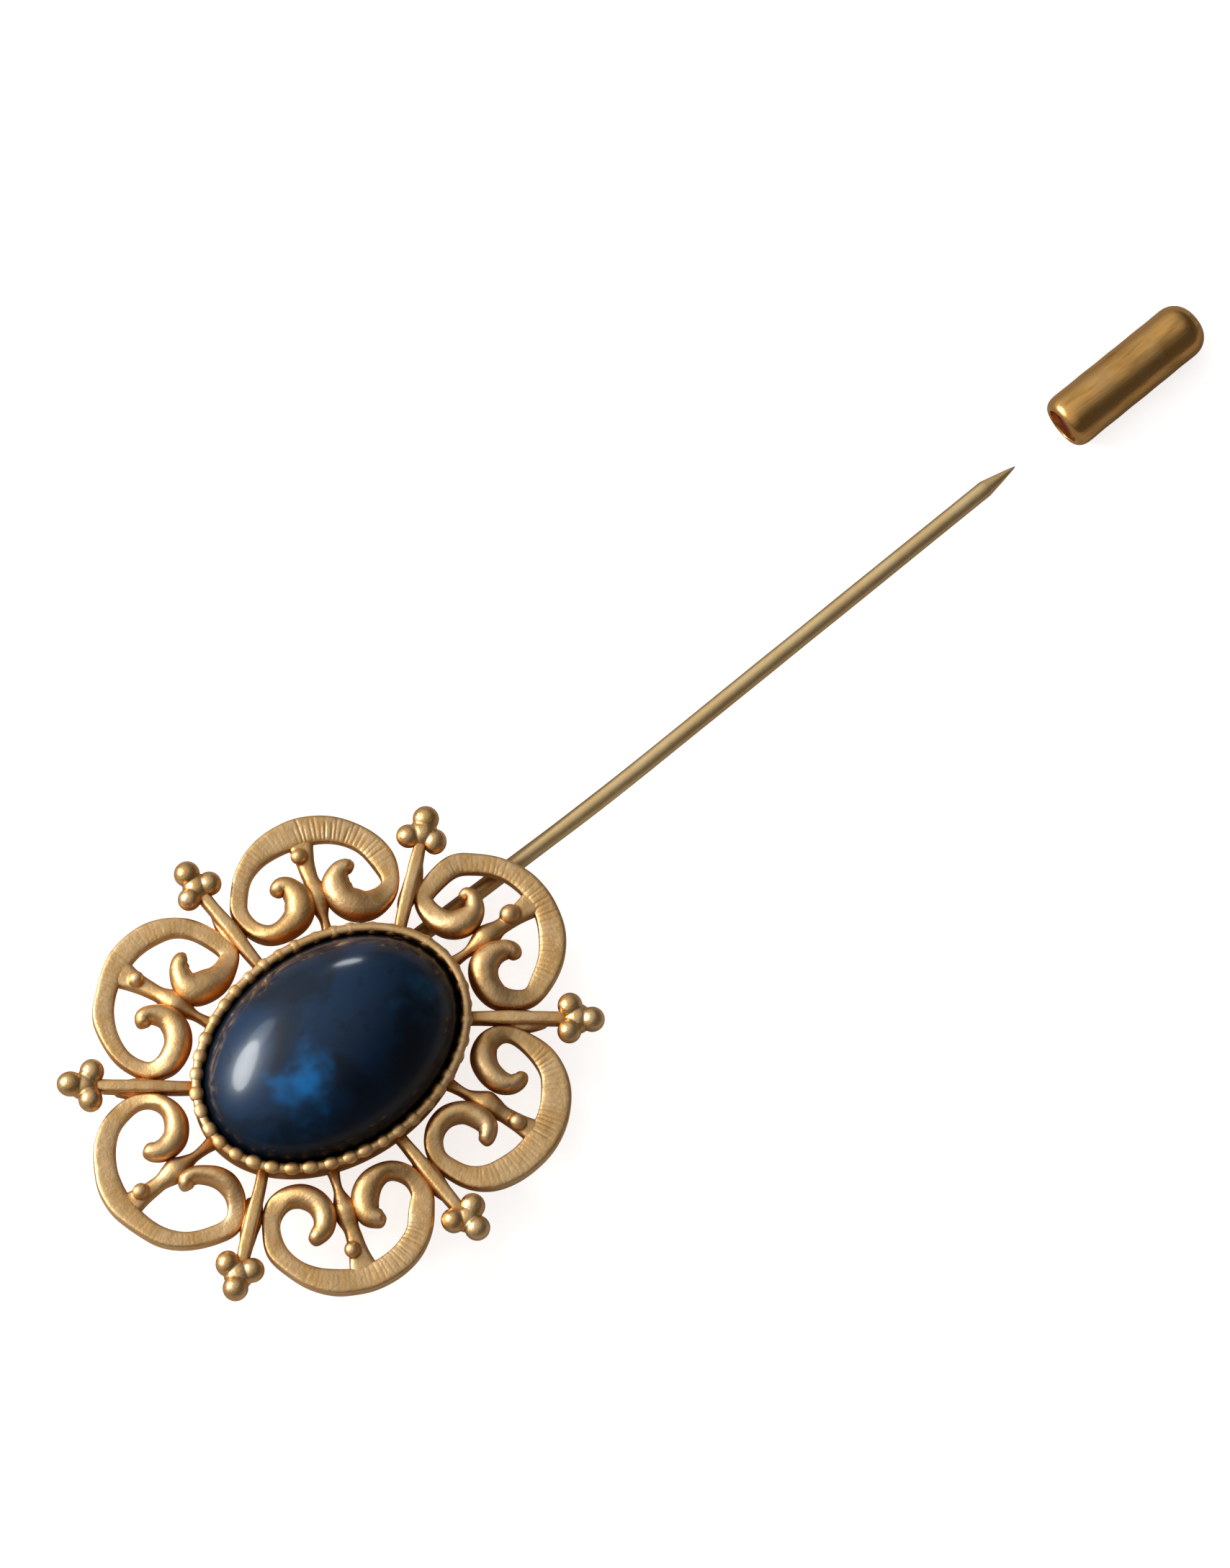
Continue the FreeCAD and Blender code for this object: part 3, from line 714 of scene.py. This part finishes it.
def cut_depths(run, across, strengths, seed):
    """How deep the graver went at each point of a band's top, in mm."""
    chance = np.random.default_rng(seed)
    depth = np.zeros(across.shape)
    middle_run = run[-1] / 2
    for at in np.arange(middle_run - CUT_REACH, middle_run + CUT_REACH, CUT_PITCH):
        at += chance.uniform(-0.06, 0.06)
        strength = strengths[0] if at < middle_run else strengths[1]
        fade = min(1.0, (CUT_REACH - abs(at - middle_run)) / CUT_FADE)
        force = strength * fade * chance.uniform(0.35, 1.0)
        edge = chance.uniform(-1.3, -0.4)
        slant = chance.uniform(-0.05, 0.05)
        line = np.exp(-((run[:, None] - at - slant * across) / CUT_WIDTH) ** 2)
        inward = np.clip((across - edge) / 0.35, 0, 1) * np.clip((1.02 - np.abs(across)) / 0.22, 0, 1)
        depth = np.maximum(depth, force * line * inward)
    return depth * CUT_DEPTH


def eased(rows, flat):
    """The flat part of a scroll with its line and width evened out, as filing does."""
    window = np.hanning(EASE_STEPS + 2)[1:-1]
    window /= window.sum()
    half = EASE_STEPS // 2
    soft = np.stack([np.convolve(np.pad(column, half, mode="edge"), window, mode="valid")
                     for column in rows[:, :3].T], -1)
    amount = np.clip((flat - 0.02) / 0.2, 0, 1)[:, None]
    return rows[:, :3] * (1 - amount) + soft * amount


def scroll_mesh(index):
    """Points and faces of one scroll, a little uneven along its way."""
    rows, run = smooth_line(scroll_rows(index), SCROLL_STEP, HOOK_BLUNT)
    flat = np.clip(rows[:, 5], 0, 1)
    rows[:, :3] = eased(rows, flat)
    rows[:, 2] *= 1 + TIP_FULLER * (np.exp(-run / TIP_LENGTH) + np.exp((run - run[-1]) / TIP_LENGTH))
    rows[:, 2] *= 1 + 0.03 * wander(run, 1.3, 40 + index)
    for column, amount, pitch, seed in ((3, 0.05, 2.1, 50), (0, 0.03, 2.6, 60), (1, 0.03, 2.9, 70)):
        rows[:, column] += amount * wander(run, pitch, seed + index)
    rings, outline = bar_rings(rows, run, HOOK_BLUNT)
    top_face = np.clip((outline[..., 1] - 0.75) / 0.2, 0, 1) * flat[:, None]
    rings[..., 2] -= top_face * cut_depths(run, outline[..., 0], CUT_STRENGTHS[index], 80 + index)
    rings[..., 2] -= top_face * OUTER_FALL * np.clip(outline[..., 0], 0, 1) ** 2
    place, turn = LOBES[index]
    return loft(on_head(placed(rings, place, turn)))


for i in range(6):
    scroll = new_piece(f"cast_scroll_{i + 1}", *scroll_mesh(i))
    handed_in(scroll, satin_gold, "pin", "gilt_filigree", f"scroll_{i + 1}")

# %% [markdown]
# ## Buds
# Between the two curls of a scroll stands a bud: a stalk from the cup that swells to a knot between the
# curls and widens again into the band, where one granule sits on it. The stalk is a lofted bar and the
# granule a ball. Melting them together gives the small soldered neck round the granule.

# %% Bud meshes
# Beside the axis, outwards, half width, top, bottom, flatness.
BUD_ROWS = [
    (0, -1.05, 0.50, 0.95, 0.10, 0.2),
    (0, -0.30, 0.34, 0.98, 0.10, 0.2),
    (0, 0.50, 0.30, 1.05, 0.10, 0.1),
    (0, 1.15, 0.52, 1.24, 0.10, 0.0),
    (0, 1.85, 0.80, 1.44, 0.10, 0.0),
    (0, 2.50, 0.68, 1.36, 0.10, 0.0),
    (0, 3.10, 0.50, 1.16, 0.10, 0.1),
    (0, 3.70, 0.52, 1.06, 0.08, 0.1),
    (0, 4.40, 0.58, 1.00, 0.05, 0.2),
    (0, 5.20, 0.74, 0.97, 0.05, 0.3),
    (0, 6.20, 1.05, 0.90, 0.05, 0.4),
]
# Where each bud's granule sits, and its radius.
BUD_GRANULES = [(-0.22, 4.05, 0.98, 0.66), (-0.36, 4.70, 1.10, 0.52), (0.05, 4.80, 1.05, 0.50),
                (0.22, 4.58, 1.10, 0.52), (0.34, 4.55, 1.10, 0.52), (0.08, 4.20, 1.12, 0.54)]
BUD_STEP = 0.12
BAR_BLUNT = 0.2
SOLDER_VOXEL = 0.055
for i, (*bead_at, radius) in enumerate(BUD_GRANULES):
    rows, run = smooth_line(BUD_ROWS, BUD_STEP, BAR_BLUNT)
    rows[:, 0] += 0.05 * wander(run, 1.6, 90 + i)
    parts = [laid(part, *LOBES[i])
             for part in (bar(rows, run, BAR_BLUNT), granule(bead_at, radius, 100 + i, squash=0.95))]
    bud = melted(f"cast_bud_{i + 1}", parts, SOLDER_VOXEL, 3)
    handed_in(bud, satin_gold, "pin", "gilt_filigree", f"bud_{i + 1}")

# %% [markdown]
# ## Stems and trefoils
# Where two scrolls touch, a flat bar is laid across both and soldered, and three granules close its outer
# end. Solder has run out under the middle of the bar. The granules are polished brighter than the
# scrolls, because they stand proud and a cloth finds them first.

# %% Stem and trefoil places
STRAIGHT_STEM = ((0.0, 6.6), (0.0, 13.1))
DIAGONAL_STEM = ((7.8, 3.2), (13.0, 7.4))
STEM_ORDER = ((1, 1, DIAGONAL_STEM), (1, 1, STRAIGHT_STEM), (-1, 1, DIAGONAL_STEM),
              (-1, -1, DIAGONAL_STEM), (1, -1, STRAIGHT_STEM), (1, -1, DIAGONAL_STEM))
# Part of the way, half width, top, bottom, flatness.
STEM_ROWS = [
    (-0.06, 0.40, 1.25, 0.30, 0.3),
    (0.15, 0.39, 1.38, 0.30, 0.4),
    (0.42, 0.43, 1.50, 0.30, 0.5),
    (0.66, 0.43, 1.48, 0.30, 0.5),
    (0.90, 0.41, 1.42, 0.35, 0.4),
    (1.06, 0.36, 1.25, 0.45, 0.2),
]
# The solder between a bar and the scrolls under it.
SOLDER_ROWS = [
    (0.30, 0.36, 0.98, 0.15, 0.2),
    (0.42, 0.62, 1.06, 0.15, 0.2),
    (0.54, 0.68, 1.08, 0.15, 0.2),
    (0.68, 0.54, 1.02, 0.15, 0.2),
    (0.80, 0.34, 0.95, 0.15, 0.2),
]
TREFOIL_GRANULES = [(-0.82, 0.02, 1.12, 0.80), (0.82, 0.0, 1.12, 0.80), (0.0, 1.36, 1.15, 0.84)]
TREFOIL_CORE = (0.0, 0.42, 0.88, 0.98)
STEM_STEP = 0.1
for i, (right, up, ends) in enumerate(STEM_ORDER):
    start, end = [np.array([right * x, up * y]) for x, y in ends]
    length = np.linalg.norm(end - start)
    turn = atan2(end[1] - start[1], end[0] - start[0]) - pi / 2
    bars = []
    for k, table in enumerate((STEM_ROWS, SOLDER_ROWS)):
        rows, run = smooth_line([(0.0, part * length, *rest) for part, *rest in table],
                                STEM_STEP, BAR_BLUNT)
        rows[:, 2] *= 1 + (0.06 + 0.12 * k) * wander(run, 1.1, 110 + i + 20 * k)
        rows[:, 0] += (0.05 + 0.08 * k) * wander(run, 1.9, 120 + i + 30 * k)
        bars.append(laid(bar(rows, run, BAR_BLUNT), (*start, 0), turn))
    stem = melted(f"soldered_stem_{i + 1}", bars, SOLDER_VOXEL, 4)
    handed_in(stem, satin_gold, "pin", "gilt_filigree", f"stem_{i + 1}")
    chance = np.random.default_rng(130 + i)
    balls = []
    for k, (x, y, z, radius) in enumerate(TREFOIL_GRANULES + [TREFOIL_CORE]):
        nudge = chance.uniform(-0.07, 0.07, 3)
        size = radius * chance.uniform(0.93, 1.0)
        ball = granule((x + nudge[0], y + nudge[1], z + 0.5 * nudge[2]), size, 140 + 5 * i + k)
        balls.append(laid(ball, (*end, 0), turn))
    trefoil = melted(f"granule_trefoil_{i + 1}", balls, SOLDER_VOXEL, 3)
    handed_in(trefoil, bright_gold, "pin", "gilt_granules", f"trefoil_{i + 1}")

# %% [markdown]
# ## Cup and beaded edge
# The stone sits in a cup made from a strip bent to an oval and closed by a plate. Its lip is pushed in
# against the stone, and a row of small beads runs along it. The cup is one profile carried round the
# oval. The beads are separate balls, most worn down where fingers hold the head, with a low ridge of
# metal between them.

# %% Cup
# Half of the stone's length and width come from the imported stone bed.
bed_points = np.array([v.co[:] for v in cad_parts["stone_bed"].data.vertices]) / MM
STONE_LONG, STONE_WIDE = np.abs(placed(bed_points - head_middle, (0, 0, 0), -head_turn)).max(0)[:2]
BED_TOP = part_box("stone_bed")[1].z / MM - head_back
CUP_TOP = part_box("bezel_cup")[1].z / MM - head_back
STONE_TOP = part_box("cabochon")[1].z / MM - head_back
OVAL_SIDES = 288
oval_angle = np.linspace(0, 2 * pi, OVAL_SIDES, endpoint=False)


def oval_ring(off, height, shrink=1.0, wave=0.0):
    """One ring a distance off the stone's outline, at a height."""
    x, y = STONE_LONG * np.cos(oval_angle), STONE_WIDE * np.sin(oval_angle)
    out = np.stack([np.cos(oval_angle) / STONE_LONG, np.sin(oval_angle) / STONE_WIDE], -1)
    out /= np.linalg.norm(out, axis=1, keepdims=True)
    far = off + wave
    return np.stack([(x + out[:, 0] * far) * shrink, (y + out[:, 1] * far) * shrink,
                     np.full(OVAL_SIDES, height) + 0 * far], -1)


# Distance off the stone, height as a part of the cup's.
CUP_PROFILE = [(0.28, 0.0), (0.36, 0.03), (0.40, 0.10), (0.40, 0.30), (0.39, 0.55), (0.39, 0.80),
               (0.41, 0.90), (0.42, 0.97), (0.38, 1.02), (0.28, 1.045), (0.16, 1.04), (0.06, 1.01),
               (0.02, 0.95), (0.02, 0.31)]
LIP_RIPPLE = 0.018
lip = LIP_RIPPLE * np.interp(oval_angle, np.linspace(0, 2 * pi, 41),
                             np.r_[np.random.default_rng(7).uniform(-1, 1, 40), 0])
cup_rings = [oval_ring(0.28, 0.03 - 0.03 * part, part) for part in (0.1, 0.35, 0.6, 0.85, 0.96)]
cup_rings += [oval_ring(off, part * CUP_TOP, wave=lip * part) for off, part in CUP_PROFILE]
cup_rings += [oval_ring(0.0, BED_TOP - 0.08, part) for part in (0.95, 0.5, 0.1)]
cup = new_piece("oval_cup", *loft(on_head(cup_rings)))
handed_in(cup, satin_gold, "pin", "gilt_filigree", "bezel_cup")
print("stone", round(2 * STONE_LONG, 2), "by", round(2 * STONE_WIDE, 2), "mm")

# %% Beads
BEAD_COUNT = 42
BEAD_RADIUS = 0.53
BEAD_OFF = 0.225
# Beads are pressed together along the wall: across it, along it, and up.
BEAD_SHAPE = (0.86, 1.10, 0.66)
BEAD_WORN_WAY = radians(25.0)
BEAD_LIFT = 0.06
RIDGE_PROFILE = [(0.30 * cos(a), 0.18 * sin(a)) for a in np.linspace(0, 2 * pi, 9)[:-1]]


def bead_places():
    """Places along the cup's wall at nearly even spacing."""
    angle = np.linspace(0, 2 * pi, 4001)
    x = (STONE_LONG + BEAD_OFF) * np.cos(angle)
    y = (STONE_WIDE + BEAD_OFF) * np.sin(angle)
    run = np.r_[0, np.cumsum(np.hypot(np.diff(x), np.diff(y)))]
    chance = np.random.default_rng(11)
    at = (np.arange(BEAD_COUNT) + 0.5 + chance.uniform(-0.09, 0.09, BEAD_COUNT)) * run[-1] / BEAD_COUNT
    return np.interp(at, run, angle)


beads = []
for k, angle in enumerate(bead_places()):
    chance = np.random.default_rng(200 + k)
    worn = 0.5 + 0.5 * cos(angle - BEAD_WORN_WAY)
    radius = BEAD_RADIUS * (1.0 - 0.10 * worn) * chance.uniform(0.88, 1.0)
    centre = ((STONE_LONG + BEAD_OFF) * cos(angle), (STONE_WIDE + BEAD_OFF) * sin(angle),
              CUP_TOP + BEAD_LIFT - BEAD_LIFT * worn)
    points, faces = granule((0, 0, 0), radius, 250 + k, squash=BEAD_SHAPE[2])
    wall_turn = atan2(STONE_LONG * sin(angle), STONE_WIDE * cos(angle))
    beads.append((placed(points * (BEAD_SHAPE[0], BEAD_SHAPE[1], 1), centre, wall_turn), faces))
# Where beads are worn down, the ridge stands higher between them.
worn_wave = 0.5 + 0.5 * np.cos(oval_angle - BEAD_WORN_WAY)
ridge = hoop([oval_ring(BEAD_OFF + off, CUP_TOP + BEAD_LIFT + up + 0.08 * worn_wave)
              for off, up in RIDGE_PROFILE])
points, faces = joined(beads + [ridge])
edge = new_piece("beaded_edge", on_head(points), faces)
handed_in(edge, rim_gold, "pin", "gilt_granules", "beaded_rim")

# %% [markdown]
# ## Stone
# The stone is a cabochon: a dome cut without facets, to show its colour. It is a deep navy with cloudy
# patches, and light that enters it comes back as one bright blue flash low on the left and a fainter
# teal one on the right. A clear coat over a dark base gives its wet gloss. Where the dome goes down into
# the cup the coat fades and the colour darkens to nearly black as painted shade. The flashes are soft
# ragged patches on the dome.

# %% Stone mesh
DOME_RINGS = 72
DOME_LIFT = 0.02
DOME_RISE = STONE_TOP - BED_TOP - DOME_LIFT
dome = [oval_ring(0.0, BED_TOP + DOME_LIFT, part) for part in (0.2, 0.6, 0.9)]
dome += [oval_ring(0.0, BED_TOP + DOME_LIFT + DOME_RISE * sin(a), cos(a))
         for a in np.linspace(0, pi / 2, DOME_RINGS)[:-1]]
stone = new_piece("polished_stone", *loft(on_head(dome)))

# %% Stone finish
DEEP_NAVY = (0.0007, 0.0038, 0.0094, 1)
CLOUD_NAVY = (0.0011, 0.0090, 0.0240, 1)
NEARLY_BLACK = (0.0003, 0.0005, 0.0008, 1)
FLASH_BLUE = (0.0008, 0.056, 0.155, 1)
TEAL = (0.0010, 0.036, 0.078, 1)
FLASH_AT = (-3.6, -1.7, 5.4)
TEAL_AT = (6.3, -1.7, 4.3)
FLASH_SIZE = 3.4
TEAL_SIZE = 3.0
ORANGE_PEEL = 0.0002

navy, tree, shader = new_finish("navy_stone")
spot = place_in_mm(tree)
big = noise(tree, spot, 0.22, 4.0, Distortion=0.8)
small = noise(tree, spot, 0.9, 6.0, Roughness=0.6)
tone = blend(tree, between(tree, big, 0.36, 0.62), DEEP_NAVY, CLOUD_NAVY)
tone = blend(tree, between(tree, small, 0.56, 0.78, 0, 0.7), tone, NEARLY_BLACK)
raggedness = times(tree, plus(tree, noise(tree, spot, 0.55, 2.0), -0.5), 6.0)
for place, size, colour in ((FLASH_AT, FLASH_SIZE, FLASH_BLUE), (TEAL_AT, TEAL_SIZE, TEAL)):
    patch_middle = tuple(on_head(np.array([place]))[0])
    away = node(tree, "VectorMath", {0: spot, 1: patch_middle}, operation="DISTANCE")
    patch = between(tree, plus(tree, away.outputs["Value"], raggedness), size, -0.6)
    tone = tinted(tree, tone, patch, patch, colour)
height = node(tree, "SeparateXYZ", {"Vector": spot}).outputs["Z"]
dome_foot = float(on_head([[0, 0, BED_TOP]])[0][2])
# Painted shade: low on the dome, by the cup, the colour goes nearly black.
above_painted_rim_shade = between(tree, height, dome_foot + 0.9, dome_foot + 3.6)
fill(tree, shader, {
    "Base Color": blend(tree, above_painted_rim_shade, NEARLY_BLACK, tone), "Roughness": 0.35, "Specular IOR Level": 0.1,
    "Coat Weight": between(tree, height, dome_foot + 1.4, dome_foot + 2.7), "Coat Roughness": 0.13,
    "Coat IOR": 1.33, "Normal": bumped(tree, noise(tree, spot, 0.7, 2.0), 0.03, ORANGE_PEEL)})
handed_in(stone, navy, "pin", "stone_navy", "cabochon")
only_stone.objects.link(stone)

# %% [markdown]
# ## Stone bed
# A thin bed of dark cement lies under the stone and hides the cup's floor. Nobody sees it, so the packed
# solid stays and only gets a finish.

# %% Stone bed finish
cement, tree, shader = new_finish("dark_cement")
grit = noise(tree, place_in_mm(tree), 3.0, 5.0)
fill(tree, shader, {"Base Color": blend(tree, grit, (0.015, 0.015, 0.018, 1), (0.06, 0.06, 0.065, 1)),
                    "Roughness": 0.85})
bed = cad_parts["stone_bed"]
bed.data.materials.clear()
bed.data.materials.append(cement)
print("bed finish on", bed.name)

# %% [markdown]
# ## Pin wire and saddle
# The pin is drawn brass wire, gilded, with a ground point. The grinding is never quite even, so the
# point is a cone with flats. Behind the head the wire lies in a small plate and a fillet of solder.
# Drawing leaves fine lines along the wire, so its finish has rubbed lines that way.

# %% Pin wire
needle_low, needle_high = [np.array(corner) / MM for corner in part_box("needle")]
WIRE_RADIUS = needle_high[2]
TIP = needle_high[0]
POINT_LENGTH = 2.4
SHANK_END = TIP - POINT_LENGTH
BEND_RADIUS = 218.0
bend_run = BEND_RADIUS * sin(-head_turn)
rear = needle_low[0]
REAR_ROUND = 0.25
POINT_LEAN = 0.10
POINT_FLATS = 0.16


def wire_middle(x):
    """The wire's sideways place at a place along X: straight, then an arc, then straight again."""
    if x >= 0:
        return 0.0
    if x > -bend_run:
        return BEND_RADIUS - sqrt(BEND_RADIUS ** 2 - x ** 2)
    at_bend = BEND_RADIUS - sqrt(BEND_RADIUS ** 2 - bend_run ** 2)
    return at_bend + (-bend_run - x) * tan(-head_turn)


WIRE_SIDES = 32
along = np.r_[rear + 0.02, rear + 0.08, rear + 0.2, np.arange(rear + 0.5, SHANK_END - 0.2, 0.4),
              np.linspace(SHANK_END, TIP - 0.02, 22)]
wobble = wander(along - along[0], 3.5, 21) * 0.012
around = np.linspace(0, 2 * pi, WIRE_SIDES, endpoint=False)
wire_rings = []
for x, ease in zip(along, wobble):
    ground = min(1.0, ((TIP - x) / (TIP - SHANK_END)) ** 0.85)
    radius = WIRE_RADIUS * (0.06 + 0.94 * ground) * (1 + ease)
    if x < rear + REAR_ROUND:
        radius *= max(sqrt(max(0.0, 1 - (1 - (x - rear) / REAR_ROUND) ** 2)), 0.2)
    flats = 1 - POINT_FLATS * (1 - ground) * np.clip(np.cos(2 * (around - 0.7)), 0, 1)
    middle_y = wire_middle(x) - POINT_LEAN * (1 - ground)
    wire_rings.append(np.stack([np.full(WIRE_SIDES, x), middle_y + np.cos(around) * radius * flats,
                                np.sin(around) * radius * flats], -1))
wire = new_piece("drawn_pin_wire", *loft(wire_rings))
handed_in(wire, wire_gold, "pin", "gilt_pin", "needle")

# %% Saddle
SADDLE_HALF = (6.4, 1.5)
SADDLE_PIN_OFF = 3.0
SEAM_HALF, SEAM_OFF = 6.2, 0.52
PLATE_BLUNT, SEAM_BLUNT = 1.2, 0.3
SADDLE_VOXEL = 0.08
plate = [(x, SADDLE_PIN_OFF, SADDLE_HALF[1], 0.05, bottom, 0.35)
         for x, bottom in ((-SADDLE_HALF[0], -0.85), (0.0, -0.90), (SADDLE_HALF[0], -0.85))]
rows, run = smooth_line(plate, 0.3, PLATE_BLUNT)
parts = [laid(bar(rows, run, PLATE_BLUNT), (0, 0, 0))]
for side in (-1, 1):
    seam = [(x, SADDLE_PIN_OFF + side * SEAM_OFF, 0.34, -0.55, -1.15, 0.0)
            for x in np.linspace(-SEAM_HALF, SEAM_HALF, 12)]
    rows, run = smooth_line(seam, 0.2, SEAM_BLUNT)
    rows[:, 2] *= 1 + 0.25 * wander(run, 1.2, 30 + side)
    parts.append(laid(bar(rows, run, SEAM_BLUNT), (0, 0, 0)))
saddle = melted("soldered_saddle", parts, SADDLE_VOXEL, 4)
handed_in(saddle, satin_gold, "pin", "gilt_pin", "pin_saddle")

# %% [markdown]
# ## Point guard
# The guard is a turned brass sleeve with a domed end, slipped over the point. Years of handling have
# rubbed its plate through in streaks, so copper and brown show between the gold. A soft reddish sleeve
# inside grips the wire. Both are round about the pin's axis, so both are profiles carried round it.

# %% Guard meshes
guard_low, guard_high = [np.array(corner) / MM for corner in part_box("guard_shell")]
liner_low, liner_high = [np.array(corner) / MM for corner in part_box("guard_liner")]
MOUTH, FAR_END, GUARD_RADIUS = guard_low[0], guard_high[0], guard_high[2]
BORE_END, BORE_RADIUS = liner_high[0], liner_high[2]
GUARD_SIDES = 96
NOSE_LENGTH = 1.45
LIP_BORE = 0.10
LIP_ROUND = 0.80
OUT_OF_ROUND = 0.004
guard_angle = np.linspace(0, 2 * pi, GUARD_SIDES, endpoint=False)


def turned_ring(x, radius):
    """A ring round the pin's axis."""
    return np.stack([np.full(GUARD_SIDES, x), radius * np.cos(guard_angle),
                     radius * np.sin(guard_angle)], -1)


def dented(x, chance):
    """How far the guard is out of round at a place along it."""
    return 1 + OUT_OF_ROUND * (np.cos(2 * guard_angle + 0.35 * x) + 0.5 * np.cos(5 * guard_angle + x)
                               + 0.3 * chance.uniform(-1, 1))


profile = [(BORE_END, 0.2), (BORE_END, 0.9), (BORE_END - 0.02, BORE_RADIUS)]
profile += [(x, BORE_RADIUS) for x in np.linspace(BORE_END - 1, MOUTH + 0.35, 8)]
profile += [(MOUTH + LIP_BORE * (1 - sin(a)), BORE_RADIUS + LIP_BORE * (1 - cos(a)))
            for a in np.linspace(0.0, pi / 2, 6)]
lip_rise = GUARD_RADIUS - BORE_RADIUS - LIP_BORE
profile += [(MOUTH + LIP_ROUND * (1 - cos(a)), BORE_RADIUS + LIP_BORE + lip_rise * sin(a))
            for a in np.linspace(0.12, pi / 2, 14)]
body_end = FAR_END - NOSE_LENGTH
profile += [(x, GUARD_RADIUS * (1.0 - 0.004 * sin(3 * x)))
            for x in np.linspace(MOUTH + 1.0, body_end, 26)]
profile += [(body_end + NOSE_LENGTH * sin(a), GUARD_RADIUS * cos(a) ** 0.8)
            for a in np.linspace(0.08, pi / 2 - 0.03, 22)]
chance = np.random.default_rng(31)
guard = new_piece("turned_guard", *loft([turned_ring(x, radius * dented(x, chance))
                                         for x, radius in profile]))
print("guard", round(FAR_END - MOUTH, 2), "mm long")

# %% Guard finish
GUARD_GOLD, GUARD_BROWN = (0.86, 0.48, 0.150, 1), (0.60, 0.33, 0.10, 1)
GUARD_COPPER, GUARD_PALE = (0.40, 0.14, 0.05, 1), (0.80, 0.50, 0.20, 1)
GUARD_PIT, GUARD_WORN = (0.07, 0.03, 0.015, 1), (0.85, 0.62, 0.36, 1)
GUARD_BUMP = 0.00005
tarnish, tree, shader = new_finish("tarnished_guard_gold")
streaks = use(tree, rubbed_lines, Along=(0.22, 1.5, 1.5), Sharpness=0.6)["Lines"]
hair = use(tree, rubbed_lines, Along=(0.5, 9.0, 9.0), Sharpness=0.5)["Lines"]
skin = use(tree, cast_grain, Grain_per_mm=4.0, Cloud_per_mm=0.5)
relief = use(tree, worn_relief, Edge=0.54, Hollow=0.46, Ragged=0.4)
tone = blend(tree, between(tree, streaks, 0.42, 0.62), GUARD_GOLD, GUARD_BROWN)
tone = blend(tree, between(tree, streaks, 0.60, 0.72), tone, GUARD_COPPER)
tone = blend(tree, between(tree, skin["Cloud"], 0.5, 1.0, 0, 0.5), tone, GUARD_PALE)
tone = tinted(tree, tone, skin["Speckle"], 0.85, GUARD_PIT)
tone = tinted(tree, tone, relief["Worn edge"], 0.7, GUARD_WORN)
rough = plus(tree, between(tree, streaks, 0.4, 0.7, 0.22, 0.42), times(tree, skin["Speckle"], 0.3))
height = plus(tree, times(tree, hair, 0.5), times(tree, skin["Speckle"], -0.8))
fill(tree, shader, {"Base Color": tone, "Metallic": 1.0, "Roughness": rough,
                    "Normal": bumped(tree, height, 0.35, GUARD_BUMP)})
handed_in(guard, tarnish, "guard", "guard_gold", "guard_shell")

# %% Guard sleeve
GRIP_RADIUS = 0.57
LEAD_IN = 0.35
SLEEVE_OUTSIDE = BORE_RADIUS - 0.01
front, inner_end = liner_low[0], BORE_END - 0.1
profile = [(inner_end, GRIP_RADIUS), (front + 4.0, GRIP_RADIUS), (front + LEAD_IN, GRIP_RADIUS),
           (front + 0.12, GRIP_RADIUS + 0.22), (front + 0.03, GRIP_RADIUS + 0.34),
           (front, GRIP_RADIUS + 0.46), (front + 0.05, BORE_RADIUS - 0.06),
           (front + 0.16, SLEEVE_OUTSIDE), (front + 4.0, SLEEVE_OUTSIDE), (inner_end, SLEEVE_OUTSIDE)]
sleeve = new_piece("grip_sleeve", *hoop([turned_ring(x, radius) for x, radius in profile]))
rubber, tree, shader = new_finish("red_brown_sleeve")
skin = use(tree, cast_grain, Grain_per_mm=5.0, Cloud_per_mm=1.2)
fill(tree, shader, {
    "Base Color": blend(tree, skin["Cloud"], (0.17, 0.045, 0.042, 1), (0.12, 0.028, 0.026, 1)),
    "Roughness": between(tree, skin["Grain"], 0.3, 0.7, 0.45, 0.65)})
handed_in(sleeve, rubber, "guard", "guard_liner", "guard_liner")

# %% [markdown]
# ## Sizes
# The looks must not change the size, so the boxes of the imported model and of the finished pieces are
# written side by side.

# %% Write the sizes and finish
made_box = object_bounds()
for label, box in (("cad box", cad_box), ("made box", made_box)):
    print(label, [[round(v / MM, 2) for v in corner] for corner in box])
